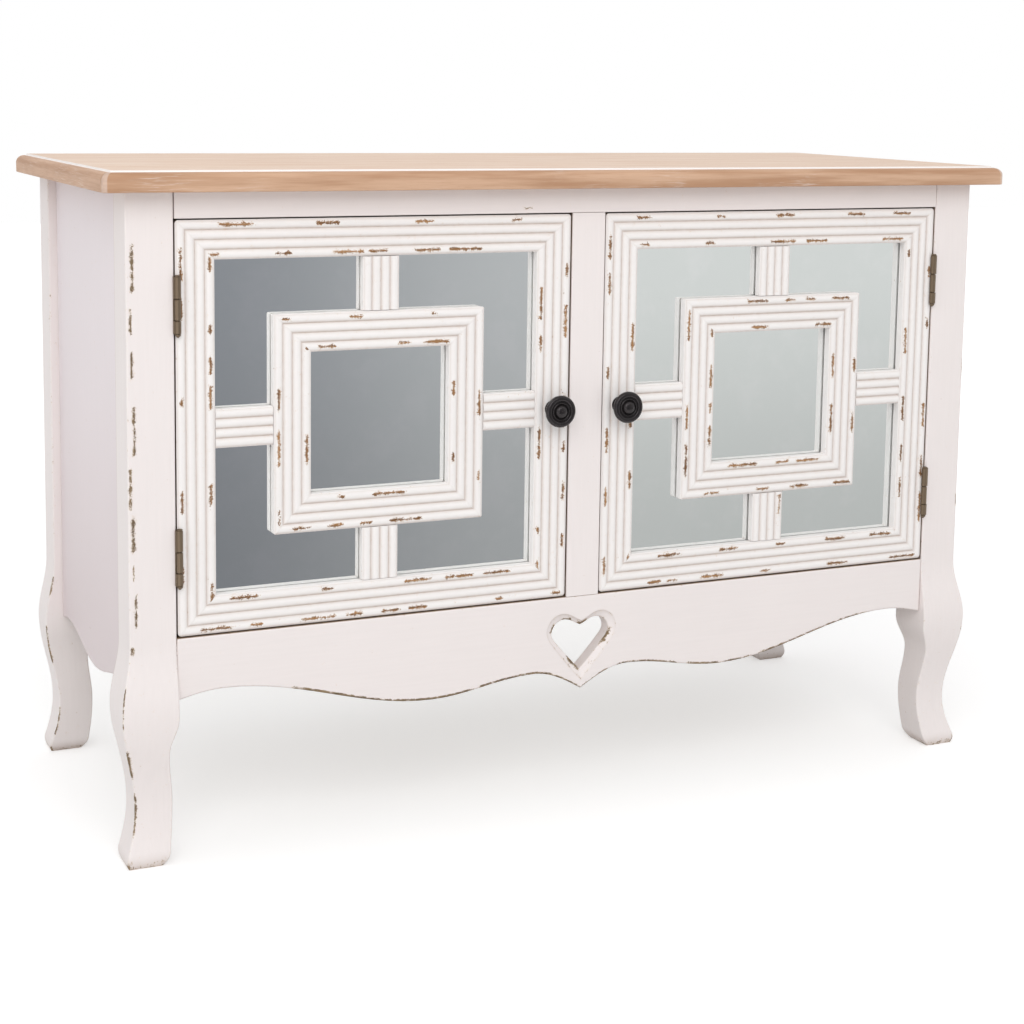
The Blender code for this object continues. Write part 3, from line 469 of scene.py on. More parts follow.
# %% Curves of the legs
def half_wave(share):
    return (1 - math.cos(share * math.pi)) / 2


def flat_end(share):
    return math.sin(share * math.pi / 2)


def flat_start(share):
    return 1 - math.cos(share * math.pi / 2)


def follow(stations, position):
    """Value of an outline at a position, from (position, value, how it gets there)."""
    previous = stations[0]
    for station in stations[1:]:
        if position <= station[0]:
            share = max(position - previous[0], 0) / (station[0] - previous[0])
            return previous[1] + (station[1] - previous[1]) * station[2](share)
        previous = station
    return previous[1]


BULGE = ((0, 0.0100, half_wave), (0.062, -0.0048, flat_end),
         (0.166, 0.0105, half_wave), (0.238, 0, half_wave))
TUCK = ((0, 0.0115, half_wave), (0.065, 0.0045, flat_end),
        (0.120, 0.0090, half_wave), (0.158, 0, half_wave))
BESIDE = (0, 0.0015, 0.0032, 0.0055, 0.0085, 0.012)


def rounded_ring(x_low, x_high, y_low, y_high, height, radius, worn=0.14):
    """Rectangle with round corners, and points beside them that can carry wear."""
    corners = ((x_high, y_low, 1, -1, -90), (x_high, y_high, 1, 1, 0),
               (x_low, y_high, -1, 1, 90), (x_low, y_low, -1, -1, 180))
    last = len(BESIDE) - 1
    room = (min(x_high - x_low, y_high - y_low) / 2 - radius) / BESIDE[-1]
    ring = []
    for x, y, x_sign, y_sign, start in corners:
        centre = Vector((x - x_sign * radius, y - y_sign * radius, height))
        for index in range(-last, last + 5):
            turn = math.radians(start + 90 * min(max(index / 4, 0), 1))
            point = centre + Vector((math.cos(turn), math.sin(turn), 0)) * radius
            beside = BESIDE[-index if index < 0 else max(index - 4, 0)] * min(room * 0.8, 1)
            back = Vector((math.sin(turn), -math.cos(turn), 0)) * (1 if index < 0 else -1)
            ring.append((point + back * beside, worn if beside == 0 else 0.0, 0.0))
    return ring


def carve(piece, low, high):
    """Cut a block out of a piece and keep its stored numbers."""
    shape = bmesh.new()
    bmesh.ops.create_cube(shape, size=1, matrix=Matrix.Translation((low + high) / 2) @
                          Matrix.Diagonal((*(high - low), 1)))
    cutter = place_object("cutter", shape)
    notch = piece.modifiers.new("notch", "BOOLEAN")
    notch.object, notch.operation, notch.solver = cutter, "DIFFERENCE", "EXACT"
    piece.modifiers.move(len(piece.modifiers) - 1, 0)
    graph = bpy.context.evaluated_depsgraph_get()
    result = bpy.data.meshes.new_from_object(piece.evaluated_get(graph))
    piece.modifiers.clear()
    piece.data = result
    bpy.data.objects.remove(cutter)


print("leg curves ready")

# %% [markdown]
# Knocks have chipped the outer front arris of the posts and legs, most of all on the front left
# one. Where a knock lands is chance, so each post draws its own stretches. Its name starts the
# draw, and so every run gives the same ones.

# %% Posts
FOOT_HEIGHTS = (0, 0.0008, 0.0025, 0.005, 0.008, 0.012)
FOOT_BEVEL_HEIGHT, FOOT_BEVEL_INSET = 0.012, 0.006
POST_ARRIS = 0.0019
POST_RING_SPACING = 0.004
CHIPPED_WIDTH = 0.015
CUT_PAST = 0.004
BACK_LEG_TUCK_SHARE = 0.5
SIDE_CORNER_START = 0.172
REVEAL_DEPTH, CORNER_SHADE_DEPTH = 0.0022, 0.0034
POST_GAPS = {"front_left_post": (3, 40), "front_right_post": (50, 230),
             "back_left_post": (15, 60), "back_right_post": (30, 90)}
POST_STRETCHES = (3, 50)
CHIPPED_HEIGHT = {"front": 655, "back": 262}
FACE_START = 220


def post_chips(node):
    """Stretches (low, high, distance in from the arris, reach) of a post, in millimetres."""
    draw = random.Random(node)
    chips = [(0, 6, 0, draw.uniform(2.6, 3.4))]
    height = CHIPPED_HEIGHT[node.split("_")[0]]
    for low, high in chance_stretches(draw, height, POST_GAPS[node], POST_STRETCHES):
        on_face = node == "front_left_post" and low > FACE_START
        offset = draw.uniform(3, 8) if on_face else 0
        chips.append((low, high, offset, draw.uniform(1.0, 2.7)))
    return chips


POST_CHIPS = {node: post_chips(node) for node in POST_GAPS}


def post_wear(node, point, corner):
    """Wear from the rows of a post; the corner is its outer front one at this height."""
    from_side, from_front = abs(corner[0]) - abs(point.x), point.y - corner[1]
    if min(from_side, from_front) > CHIPPED_WIDTH:
        return 0.0
    inward = from_side - from_front
    worn = 0.0
    for low, high, offset, reach in POST_CHIPS[node]:
        gap = max(low * MM - point.z, point.z - high * MM, 0)
        worn = max(worn, faded(math.hypot(gap, inward - offset * MM), reach * MM))
    return worn


def post_rings(node, side, front):
    heights = list(FOOT_HEIGHTS)
    count = round((RAIL_TOP - heights[-1]) / POST_RING_SPACING)
    heights += [heights[-1] + (RAIL_TOP - heights[-1]) * index / count for index in range(1, count + 1)]
    rings = []
    for height in heights:
        low_share = max(0, 1 - height / FOOT_BEVEL_HEIGHT)
        inset = FOOT_BEVEL_INSET * low_share ** 1.7
        bulge, tuck = follow(BULGE, height), follow(TUCK, height)
        inner, outer = side * (POST_INNER + tuck + inset), side * (HALF_BODY + bulge - inset)
        if front:
            y_pair = (front_y - bulge + inset, SIDE_FRONT - tuck - inset)
        else:
            y_pair = (SIDE_BACK + tuck * BACK_LEG_TUCK_SHARE + inset, BACK_Y - inset)
        low_wear = 0.5 * low_share
        foot_grime = max(0.0, 0.5 - height / 0.03)
        ring = []
        for point, worn, grime_and_shade_level in rounded_ring(*sorted((inner, outer)), *y_pair, height, POST_ARRIS):
            worn = max(worn, low_wear, post_wear(node, point, (outer, y_pair[0])))
            # The inner face in the gap beside a door gets a brown painted shade.
            in_reveal = abs(point.x - inner) < 0.0003 and point.y > y_pair[0] + REVEAL_DEPTH
            if front and in_reveal and apron_top < height < RAIL_LOW:
                grime_and_shade_level = 2.0 - 40 * max(point.y - front_y - 0.012, 0)
            # A strip of the outer side, in front of the recessed side panel, is darkened as painted shade at
            # that step.
            behind = abs(point.x - outer) < 0.0021 and point.y > y_pair[1] - CORNER_SHADE_DEPTH
            if front and behind and height > SIDE_CORNER_START:
                grime_and_shade_level = 0.9
            ring.append((point, worn, max(grime_and_shade_level, foot_grime)))
        rings.append(ring)
    return rings


for side, side_name in SIDES:
    for place in ("front", "back"):
        node = f"{place}_{side_name}_post"
        post = add_piece(f"painted_{node}", skin(post_rings(node, side, place == "front")), "cabinet",
                         "carcass_paint", [carcass_upright], node)
        if place == "back":
            panel_low, panel_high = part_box("back_panel")
            x_pair = sorted((side * (POST_INNER - CUT_PAST), side * (panel_high.x + SEAT_GAP)))
            carve(post, Vector((x_pair[0], panel_low.y - SEAT_GAP, panel_low.z - SEAT_GAP)),
                  Vector((x_pair[1], BACK_Y + CUT_PAST, panel_high.z + SEAT_GAP)))

# %% [markdown]
# ## Boards of the carcass
# The apron and the side panels are sawn to a scroll, and their arrises are eased by hand. A curve
# object with a bevel would round every edge alike. Here rings run round the sawn edge, and the
# flat faces are filled between them, so that wear can follow the edge.

# %% Flat boards with sawn outlines
SCROLL_FACETS = 14
BOARD_END_FACETS = 12


def scroll(stations):
    """Right half of a scrolled lower edge as (position, height) points."""
    points = [stations[0][:2]]
    for previous, station in zip(stations, stations[1:]):
        for index in range(1, SCROLL_FACETS + 1):
            position = previous[0] + (station[0] - previous[0]) * index / SCROLL_FACETS
            points.append((position, follow(stations, position)))
    return points


def closed_scroll(stations, top):
    half = scroll(stations)
    reach = stations[-1][0]
    right = half + [(reach, half[-1][1] + (top - half[-1][1]) * index / BOARD_END_FACETS)
                    for index in range(1, BOARD_END_FACETS + 1)]
    return [(-x, z) for x, z in reversed(right[1:])] + right


def inset(outline, amount):
    """Closed outline moved to its left: inwards if it runs anticlockwise, as boards do, and
    outwards if it runs clockwise, as the heart does."""
    moved = []
    for index, point in enumerate(outline):
        here = Vector(point)
        before = here - Vector(outline[index - 1])
        after = Vector(outline[(index + 1) % len(outline)]) - here
        normals = [Vector((-edge.y, edge.x)).normalized() for edge in (before, after)]
        middle = (normals[0] + normals[1]).normalized()
        moved.append(here + middle * amount / max(middle.dot(normals[0]), 0.6))
    return moved


def plate(families, place):
    """Board through families of rings: the first rings bound its front and the last its back."""
    shape = new_shape()
    borders = ([], [])
    for family in families:
        rings = [[(place(x, depth, z), worn, grime_and_shade_level) for x, z in outline]
                 for outline, depth, worn, grime_and_shade_level in family]
        for border, row in zip(borders, join_rings(shape, rings)):
            border += [shape.edges.get((row[index - 1], corner)) for index, corner in enumerate(row)]
    for border in borders:
        bmesh.ops.triangle_fill(shape, edges=border, use_beauty=True)
    return shape


# A ring at this depth carries wear beside the face, whose own first ring stays clean
ON_FACE = 0.00002
EASED_RADIUS = 0.0022


def edge_rings(outline, thickness):
    """Rings over a board's edge, from the face of the front to the face of the back."""
    rings = [(inset(outline, 0.0036), 0, 0.0, 0.0), (inset(outline, 0.0030), ON_FACE, 0.0, 0.0)]
    for index in range(5):
        turn = math.radians(22.5 * index)
        draw = EASED_RADIUS * (1 - math.sin(turn))
        depth = max(EASED_RADIUS * (1 - math.cos(turn)), ON_FACE)
        rings.append((inset(outline, draw), depth, 0.04 + 0.035 * index ** 2, 0.0))
    rings.append((outline, thickness * 0.35, 0.06, 0.3))
    rings.append((outline, thickness - 0.001, 0.10, 0.0))
    rings.append((inset(outline, 0.001), thickness, 0.1, 0.0))
    return rings


def rub_edge(shape, stations, rows):
    """Rub a scrolled lower edge between pairs of x places, over a reach, in millimetres."""
    wear = shape.verts.layers.float["wear"]
    for corner in shape.verts:
        rise = corner.co.z - follow(stations, abs(corner.co.x))
        if rise > 0.0034:
            continue
        behind = max(corner.co.y - front_y - 0.002, 0)
        for start, end, reach in rows:
            gap = max(start * MM - corner.co.x, corner.co.x - end * MM, 0)
            distance = math.hypot(gap, rise, behind * 1.5)
            corner[wear] = max(corner[wear], faded(distance, reach * MM * 1.8))


print("board tools ready")

# %% [markdown]
# The heart is sawn through the apron, and a slope is cut round its front edge. A curve could be
# cut out by a Boolean, which leaves a sharp edge. Here the same outline is repeated from the face
# into the hole, narrower each time, and the rings between them make the slope.

# %% Apron with its heart
APRON_SCROLL = ((0, 0.1327, half_wave), (0.060, 0.1557, flat_end), (0.184, 0.1412, half_wave),
                (0.422, 0.1830, half_wave), (POST_INNER - SEAT_GAP, 0.1750, flat_start))
HEART_SHARES = ((0, 0.87), (0.17, 0.92), (0.34, 0.972), (0.52, 1), (0.7, 0.985), (0.85, 0.932),
                (0.95, 0.856), (1, 0.765), (0.985, 0.688), (0.92, 0.61), (0.79, 0.515), (0.6, 0.383),
                (0.4, 0.25), (0.2, 0.12), (0, 0))
HEART_HALF_WIDTH, HEART_TIP, HEART_HEIGHT = 0.0360, 0.1550, 0.0596
SLOPE_WIDTH, SLOPE_BELOW, SLOPE_RISE = 0.0078, 0.0118, 0.0196
APRON_CHIPPED = (-350, 472)
APRON_GAPS, APRON_STRETCHES, APRON_REACHES = (2, 20), (15, 85), (1.3, 3.7)
HEART_CHIP_COUNT = 6
HEART_CHIP_POINTS = 3
HEART_FACETS = 2


def smoothed(points):
    """Points of a smooth curve through the given ones."""
    dense = []
    for index in range(len(points) - 1):
        before, after = points[max(index - 1, 0)], points[min(index + 2, len(points) - 1)]
        for step in range(HEART_FACETS):
            share = step / HEART_FACETS
            weights = (-share ** 3 + 2 * share ** 2 - share, 3 * share ** 3 - 5 * share ** 2 + 2,
                       -3 * share ** 3 + 4 * share ** 2 + share, share ** 3 - share ** 2)
            near = (before, points[index], points[index + 1], after)
            dense.append(tuple(sum(weight * point[axis] for weight, point in zip(weights, near)) / 2
                               for axis in (0, 1)))
    return dense + [points[-1]]


def heart(slope_share):
    """Outline of the heart: the hole itself where the share is 0, and the slope's rim where it is 1."""
    reach = HEART_HALF_WIDTH + SLOPE_WIDTH * slope_share
    tip = HEART_TIP - SLOPE_BELOW * slope_share
    height = HEART_HEIGHT + SLOPE_RISE * slope_share
    right = [(across * reach, tip + up * height) for across, up in smoothed(HEART_SHARES)]
    return right + [(-x, z) for x, z in reversed(right[1:-1])]


def heart_rings(thickness):
    """From the apron's face down the soft slope round the heart, and through."""
    # The small glaze values on the rims of the slope are a faint painted shadow that outlines it.
    rings = [(inset(heart(1), 0.0022), 0, 0.0, 0.0), (inset(heart(1), 0.0008), ON_FACE, 0.16, 0.05)]
    rings += [(heart(share), depth, worn, grime_and_shade_level) for share, depth, worn, grime_and_shade_level in
              ((1, 0.0004, 0.36, 0.3), (0.9, 0.0011, 0.26, 0.1), (0.7, 0.0020, 0.10, 0),
               (0.4, 0.0030, 0.08, 0), (0.15, 0.0038, 0.22, 0), (0.05, 0.0043, 0.36, 0),
               (0, 0.0052, 0.38, 0.1))]
    rings += [(heart(0), 0.0066, 0.14, 0.05), (heart(0), thickness - 0.001, 0.1, 0.0)]
    return rings + [(inset(heart(0), 0.001), thickness, 0.0, 0.0)]


def apron_chips():
    """Stretches (from, to, reach) of the scrolled edge, in millimetres from the middle."""
    draw = random.Random("front_apron")
    low, high = APRON_CHIPPED
    return [(low + start, low + end, draw.uniform(*APRON_REACHES))
            for start, end in chance_stretches(draw, high - low, APRON_GAPS, APRON_STRETCHES)]


def heart_chips():
    """Short stretches on the slope round the heart, between points of its outline."""
    draw = random.Random("heart")
    rim = [(x / MM, z / MM) for x, z in heart(0.2)]
    starts = draw.sample(range(len(rim)), HEART_CHIP_COUNT)
    return [(*rim[start], *rim[(start + HEART_CHIP_POINTS) % len(rim)], draw.uniform(1.8, 2.6))
            for start in starts]


def in_front_plane(x, depth, z):
    return Vector((x, front_y + depth, z))


APRON_THICKNESS = 0.022
outline = closed_scroll(APRON_SCROLL, apron_top)
shape = plate([edge_rings(outline, APRON_THICKNESS), heart_rings(APRON_THICKNESS)], in_front_plane)
rub_edge(shape, APRON_SCROLL, apron_chips())
mark_stretches(shape, heart_chips())
wear, grime_and_shade = shape.verts.layers.float["wear"], shape.verts.layers.float["grime_and_shade"]
for corner in shape.verts:
    if corner.co.y < front_y + ON_FACE / 2:
        corner[wear] = 0.0
    # The apron's top face behind its front, seen through the gap under the doors, gets a brown painted shade.
    if corner.co.z > apron_top - 0.0005 and corner.co.y > front_y + 0.001:
        corner[grime_and_shade] = 2.0
apron = add_piece("scrolled_apron", shape, "cabinet", "carcass_paint", [carcass_level], "front_apron")
print("apron", len(apron.data.polygons), "faces")

# %% [markdown]
# The side panels are thin boards, set back between the posts, with one slow scroll below. The
# apron's mesh could be copied and turned, but the outline and the thickness differ. So the same
# functions make them, in a plane that faces the side.

# %% Side panels
SIDE_THICKNESS, SIDE_SETBACK = 0.012, 0.010
SIDE_MIDDLE_Y = (SIDE_FRONT + SIDE_BACK) / 2
SIDE_REACH = (SIDE_BACK - SIDE_FRONT) / 2 - SEAT_GAP
SIDE_SCROLL = ((0, 0.1570, half_wave), (0.128, 0.1770, half_wave), (SIDE_REACH, 0.1710, flat_start))
PANEL_FACE = HALF_BODY - SIDE_SETBACK


def in_side_plane(side):
    return lambda along, depth, z: Vector((side * (PANEL_FACE - depth), SIDE_MIDDLE_Y + along, z))


for side, side_name in SIDES:
    outline = closed_scroll(SIDE_SCROLL, RAIL_TOP)
    shape = plate([edge_rings(outline, SIDE_THICKNESS)], in_side_plane(side))
    add_piece(f"scrolled_{side_name}_side", shape, "cabinet", "carcass_paint", [side_paint_shaded_below],
              f"{side_name}_side_panel")
print("side panels at x", round(PANEL_FACE, 4))

# %% [markdown]
# The top rail and the centre stile are straight boards with softened arrises. A scaled cube with a
# Bevel modifier would look alike from far off. Rings let the edges beside the doors take a brown
# painted shade, for the dark gap there.

# %% Rails and the centre stile
JOINT_GAP = 0.0010
# One chip, from (x, z) to (x, z), and its reach, in millimetres
RAIL_CHIP = (-80, 685, -73, 686, 1.4)


def beam(low, high, axis, radius=0.0010, reveals=()):
    """Straight board with softened arrises, along X where axis is 0 and Z where it is 2.

    Reveals are values of the other axis at which the board faces a gap beside a door; there it
    takes a brown painted shade."""
    others = [index for index in range(3) if index != axis]
    section = rounded_ring(low[others[0]], high[others[0]], low[others[1]], high[others[1]], 0, radius, 0.10)
    rings = []
    for distance in steps(high[axis] - low[axis], (0, 0.002), 0.006):
        ring = []
        for point, worn, grime_and_shade_level in section:
            place = [0, 0, 0]
            place[axis] = low[axis] + distance
            place[others[0]], place[others[1]] = point.x, point.y
            across = place[0] if axis == 2 else place[2]
            in_gap = any(abs(across - value) < 0.0002 for value in reveals)
            # Faces in a gap beside a door take a brown painted shade.
            if in_gap and place[1] > front_y + REVEAL_DEPTH:
                grime_and_shade_level = 2.0
            ring.append((Vector(place), worn, grime_and_shade_level))
        rings.append(ring)
    return skin(rings)


rail_low.x, rail_high.x = -POST_INNER + JOINT_GAP, POST_INNER - JOINT_GAP
stile_low.z, stile_high.z = apron_top + SEAT_GAP, rail_low.z - SEAT_GAP
shape = beam(rail_low, rail_high, 0, reveals=(rail_low.z,))
mark_stretches(shape, (RAIL_CHIP,))
add_piece("painted_top_rail", shape, "cabinet", "carcass_paint", [carcass_level], "top_front_rail")
shape = beam(stile_low, stile_high, 2, reveals=(stile_low.x, stile_high.x))
add_piece("painted_centre_stile", shape, "cabinet", "carcass_paint", [carcass_upright], "centre_stile")
print("rail and stile in place")

# %% [markdown]
# ## The washed top
# The real top has a flat edge, a quarter round, and a small step up to its face, in which the lime
# has stayed white. A bevel gives the round but not the step, so both are rings of one skin.

# %% Top panel
def top_ring(height, draw, worn, grime_and_shade_level):
    section = rounded_ring(top_low.x + draw, top_high.x - draw, top_low.y + draw, top_high.y - draw,
                           height, max(0.0042 - draw * 0.2, 0.001), 0.34)
    return [(point, max(worn, arris) if grime_and_shade_level == 1.0 else worn, grime_and_shade_level) for point, arris, _ in section]


TOP_STEP, TOP_ROUND = 0.0019, 0.0085
END_GRAIN_REACH = 0.218


def top_rings():
    face, step, radius = top_high.z, TOP_STEP, TOP_ROUND
    round_top = face - step
    rings = [top_ring(top_low.z, 0.0012, 0.0, 1.0), top_ring(top_low.z + 0.0004, 0.0003, 0.1, 1.0),
             top_ring(top_low.z + 0.0012, 0, 0.1, 1.0), top_ring(round_top - radius - 0.004, 0, 0.0, 1.0)]
    for index in range(11):
        turn = math.radians(9 * index)
        rings.append(top_ring(round_top - radius * (1 - math.sin(turn)), radius * (1 - math.cos(turn)),
                              0.0 if index < 9 else 0.12 * (index - 8), 1.0 if index < 10 else 0.8))
    inner = radius + step
    return rings + [top_ring(*row) for row in
                    ((round_top, radius + step * 0.8, 0.95, 0.4), (round_top + step * 0.4, inner, 1.0, 0.1),
                     (face - 0.0003, inner + 0.0001, 0.9, 0.0), (face, inner + 0.0005, 0.8, 0.0),
                     (face, inner + 0.0013, 0.45, 0.0), (face, inner + 0.0026, 0.05, 0.0),
                     (face, inner + 0.006, 0.0, 0.0))]


shape = skin(top_rings())
middle_y = (top_low.y + top_high.y) / 2
for part in shape.faces:
    centre = part.calc_center_median()
    if abs(centre.x) > top_high.x - TOP_ROUND and abs(centre.y - middle_y) < END_GRAIN_REACH:
        part.material_index = 1
add_piece("washed_top", shape, "cabinet", "washed_oak", [washed_along, washed_across], "top_panel")
print("top", round(top_low.z, 4), "to", round(top_high.z, 4))

# %% [markdown]
# ## Doors
# Each door is a mitred frame of reeded moulding over a mirror, with a smaller reeded square and
# four short bars stuck to the glass. One profile could be swept round a rectangle in one go, but
# the real frame is four pieces that can be painted and worn one by one, and so is this one.

# %% Reeded profile
REED_COUNT = 4
REED_DEPTH = 0.0021
GLASS_FRONT = 0.012
REBATE = 0.009
DOOR_THICKNESS = 0.021
REED_REACH = 0.0038
REED_WEAR = 0.92
MITRE_ROOM = 0.08
MEMBER_SPACING = 0.0032
CORNER_SHARE = 0.293


def reeds(width, crest=0.0):
    """Reeded face as (across, depth, wear, grime), from the outer edge to the inner one."""
    points = []
    for reed in range(REED_COUNT):
        for index in range(11 if reed == REED_COUNT - 1 else 10):
            share = (1 - math.cos(math.pi * index / 10)) / 2
            depth = crest + REED_DEPTH * (1 - math.sin(math.pi * share) ** 0.78)
            at_edge = (reed == 0 and index < 2) or (reed == REED_COUNT - 1 and index > 8)
            grime_and_shade_level = 0.0 if at_edge else max(0.0, 1 - min(index, 10 - index) * 0.28)
            across = width * (reed + share) / REED_COUNT
            points.append((across, depth, 0.10 if at_edge else 0.03, grime_and_shade_level))
    return points


def frame_profile(width):
    """Door frame member: reeds, inner wall, rebate for the mirror, and a flat back."""
    inner, back = width - REBATE, DOOR_THICKNESS
    # The outer edge of the frame, in the gap round the door, carries a brown painted shade.
    return reeds(width) + [(width, 0.0045, 0.06, 0), (width, GLASS_FRONT - 0.0003, 0, 0),
                           (width - 0.0003, GLASS_FRONT, 0, 0.1), (inner, GLASS_FRONT, 0, 0.6),
                           (inner, back - 0.001, 0, 0.2), (inner - 0.001, back, 0.1, 0),
                           (0.002, back, 0.1, 0), (0.0006, back - 0.0006, 0.1, 0.5),
                           (0, back - 0.002, 0, 0.8), (0, 0.011, 0, 1.6), (0, 0.005, 0, 2.0),
                           (0, 0.0032, 0, 0.6)]


def lattice_profile(width, crest=0.0):
    """Member that is stuck to the mirror: reeds, and a flat back."""
    back = GLASS_FRONT
    return reeds(width, crest) + [(width, 0.0045, 0.06, 0), (width, back - 0.0004, 0, 0),
                                  (width - 0.0004, back, 0, 0.3), (0.0004, back, 0, 0.3),
                                  (0, back - 0.0004, 0, 0), (0, 0.0045, 0.06, 0)]


def rubbed(rows, run, across, width):
    """Wear at a place of a moulding, from its rows of (reed, from, to) in millimetres."""
    worn = 0.0
    for reed, start, end in rows:
        gap = max(start * MM - run, run - end * MM, 0)
        crest = width * (reed + 0.5) / REED_COUNT
        worn = max(worn, REED_WEAR * (1 - math.hypot(gap, across - crest) / REED_REACH))
    return worn


def member(profile, origin, along, inward, length, rows, width, mitred=True, corner=0.0):
    """Moulding on the front plane; origin is the (x, z) start of its outer edge."""
    near = (0, 0.0006, 0.0014, 0.0026, 0.0045)
    origin, along, inward = Vector(origin), Vector(along), Vector(inward)
    even = steps(length - 2 * near[-1] - MITRE_ROOM, (0,), MEMBER_SPACING)
    shares = [value / even[-1] for value in even]
    stations = [(0, value) for value in near] + [(share, near[-1]) for share in shares[1:-1]]
    stations += [(1, value) for value in reversed(near)]
    rings = []
    for share, distance in stations:
        ring = []
        for across, depth, worn, grime_and_shade_level in profile:
            bend = max(corner - across, 0)
            start = (across if mitred else SEAT_GAP) + bend * CORNER_SHARE
            run = start + near[-1] + (length - 2 * start - 2 * near[-1]) * share
            if share == 0:
                run = start + distance
            if share == 1:
                run = length - start - distance
            from_corner = bend * CORNER_SHARE + distance
            draw = 0.0
            if share in (0, 1) and from_corner < bend:
                draw = bend - math.sqrt(bend ** 2 - (bend - from_corner) ** 2)
            at = origin + along * run + inward * (across + draw)
            grime_and_shade_amount = max(grime_and_shade_level, 0.15 - distance * 100) if share in (0, 1) else grime_and_shade_level
            if depth < CHIP_DEPTH:
                worn = max(worn, rubbed(rows, run, across, width))
            ring.append((Vector((at.x, front_y + depth, at.y)), worn, grime_and_shade_amount))
        rings.append(ring)
    return skin(rings)


def mitred_members(low, high, side):
    """Origin, direction, inward direction and length of the four sides of a rectangle."""
    outer, inner = (high[0], low[0]) if side > 0 else (low[0], high[0])
    width, height = high[0] - low[0], high[1] - low[1]
    return (
        ("hinge", (outer, low[1]), (0, 1), (-side, 0), height),
        ("latch", (inner, low[1]), (0, 1), (side, 0), height),
        ("top", (low[0], high[1]), (1, 0), (0, -1), width),
        ("bottom", (low[0], low[1]), (1, 0), (0, 1), width),
    )


print("reeded profile of", len(frame_profile(0.041)), "points")

# %% [markdown]
# The outer and the inner reed of each moulding stand out most, and there the paint is rubbed
# through in short stretches. They could be painted on one by one. Here each moulding draws its
# own from two ranges, started by its name, so no two are alike and every run gives the same.

# %% Rubbed stretches of the doors
RUBBED_REEDS = (0, REED_COUNT - 1)
REED_GAPS, REED_STRETCHES = (6, 95), (3, 36)


def rubbed_stretches(name, length):
    """Rows (reed, from, to) of a moulding, in millimetres from its left or lower end."""
    draw = random.Random(name)
    return [(reed, start, end) for reed in RUBBED_REEDS
            for start, end in chance_stretches(draw, length / MM, REED_GAPS, REED_STRETCHES)]


print("reeds rubbed on a rail 0.45 long", len(rubbed_stretches("rail", 0.45)))

# %% [markdown]
# Each door has four members round its mirror, four smaller ones in the square, and four bars. One
# could be copied and turned, but then all would wear alike. So a loop reads each place from the
# CAD boxes and makes every member on its own.

# %% Door frames, squares and bars
FRAME_PARTS = {"hinge": "hinge_stile", "latch": "latch_stile", "top": "top_rail", "bottom": "bottom_rail"}
SQUARE_PARTS = {"hinge": "square_hinge_side", "latch": "square_latch_side", "top": "square_top",
                "bottom": "square_bottom"}
FRAME_CORNER, SQUARE_CORNER = 0.0036, 0.0016
BAR_SETBACK = 0.0012


def add_member(side_name, part, profile, spot, width, **style):
    """Moulding of a door with its own rubbed stretches; spot is (origin, along, inward, length)."""
    rows = rubbed_stretches(f"{side_name} {part}", spot[-1])
    shape = member(profile, *spot, rows, width, **style)
    finish = door_level if spot[1] == (1, 0) else door_upright
    add_piece(f"{side_name}_reeded_{part}", shape, f"{side_name}_door", "door_paint", [finish],
              f"{side_name}_door_{part}")


def square_box(side_name):
    """(x, z) corners of the reeded square, from its CAD nodes."""
    boxes = [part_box(f"{side_name}_door_{part}") for part in SQUARE_PARTS.values()]
    return ((min(low.x for low, high in boxes), min(low.z for low, high in boxes)),
            (max(high.x for low, high in boxes), max(high.z for low, high in boxes)))


for side, side_name in SIDES:
    low, high = DOOR_LOW[side], DOOR_HIGH[side]
    latch_low, latch_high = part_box(f"{side_name}_door_latch_stile")
    bar_low, bar_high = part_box(f"{side_name}_door_upper_bar")
    frame_width, lattice_width = latch_high.x - latch_low.x, bar_high.x - bar_low.x
    for key, *spot in mitred_members((low.x, low.z), (high.x, high.z), side):
        add_member(side_name, FRAME_PARTS[key], frame_profile(frame_width), spot, frame_width,
                   corner=FRAME_CORNER)
    for key, *spot in mitred_members(*square_box(side_name), side):
        add_member(side_name, SQUARE_PARTS[key], lattice_profile(lattice_width), spot, lattice_width,
                   corner=SQUARE_CORNER)
    for part in ("hinge_bar", "latch_bar", "upper_bar", "lower_bar"):
        bar_low, bar_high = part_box(f"{side_name}_door_{part}")
        if part in ("hinge_bar", "latch_bar"):
            spot = ((bar_low.x, bar_low.z), (1, 0), (0, 1), bar_high.x - bar_low.x)
        else:
            spot = ((bar_low.x, bar_low.z), (0, 1), (1, 0), bar_high.z - bar_low.z)
        add_member(side_name, part, lattice_profile(lattice_width, BAR_SETBACK), spot, lattice_width,
                   mitred=False)

# %% [markdown]
# ## Mirrors
# A mirror is clear glass with silver behind it. Real glass would need a second surface and many
# more rays. One bright metal sheet a little behind the front of the glass shows nearly the same,
# with the dark line that the glass leaves beside the frame.

# %% Mirrors
SILVER_DEPTH = 0.0016
for side, side_name in SIDES:
    low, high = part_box(f"{side_name}_door_mirror")
    low.y += SILVER_DEPTH
    add_piece(f"{side_name}_silvered_mirror", beam(low, high, 0, 0.0002), f"{side_name}_door", "mirror_glass",
              [mirror_silver], f"{side_name}_door_mirror")
print("mirror silver", round(SILVER_DEPTH / MM, 1), "mm behind the glass front")

# %% [markdown]
# ## Knobs
# Each knob is turned: a dome, a thin ring, a rim, a waist and a rose. A Screw modifier could spin
# its outline too. The function below does the same through rings, so that a knob is a skin like
# every other piece.

# %% Knobs
KNOB_RADIUS, KNOB_REACH = 0.018, 0.0285
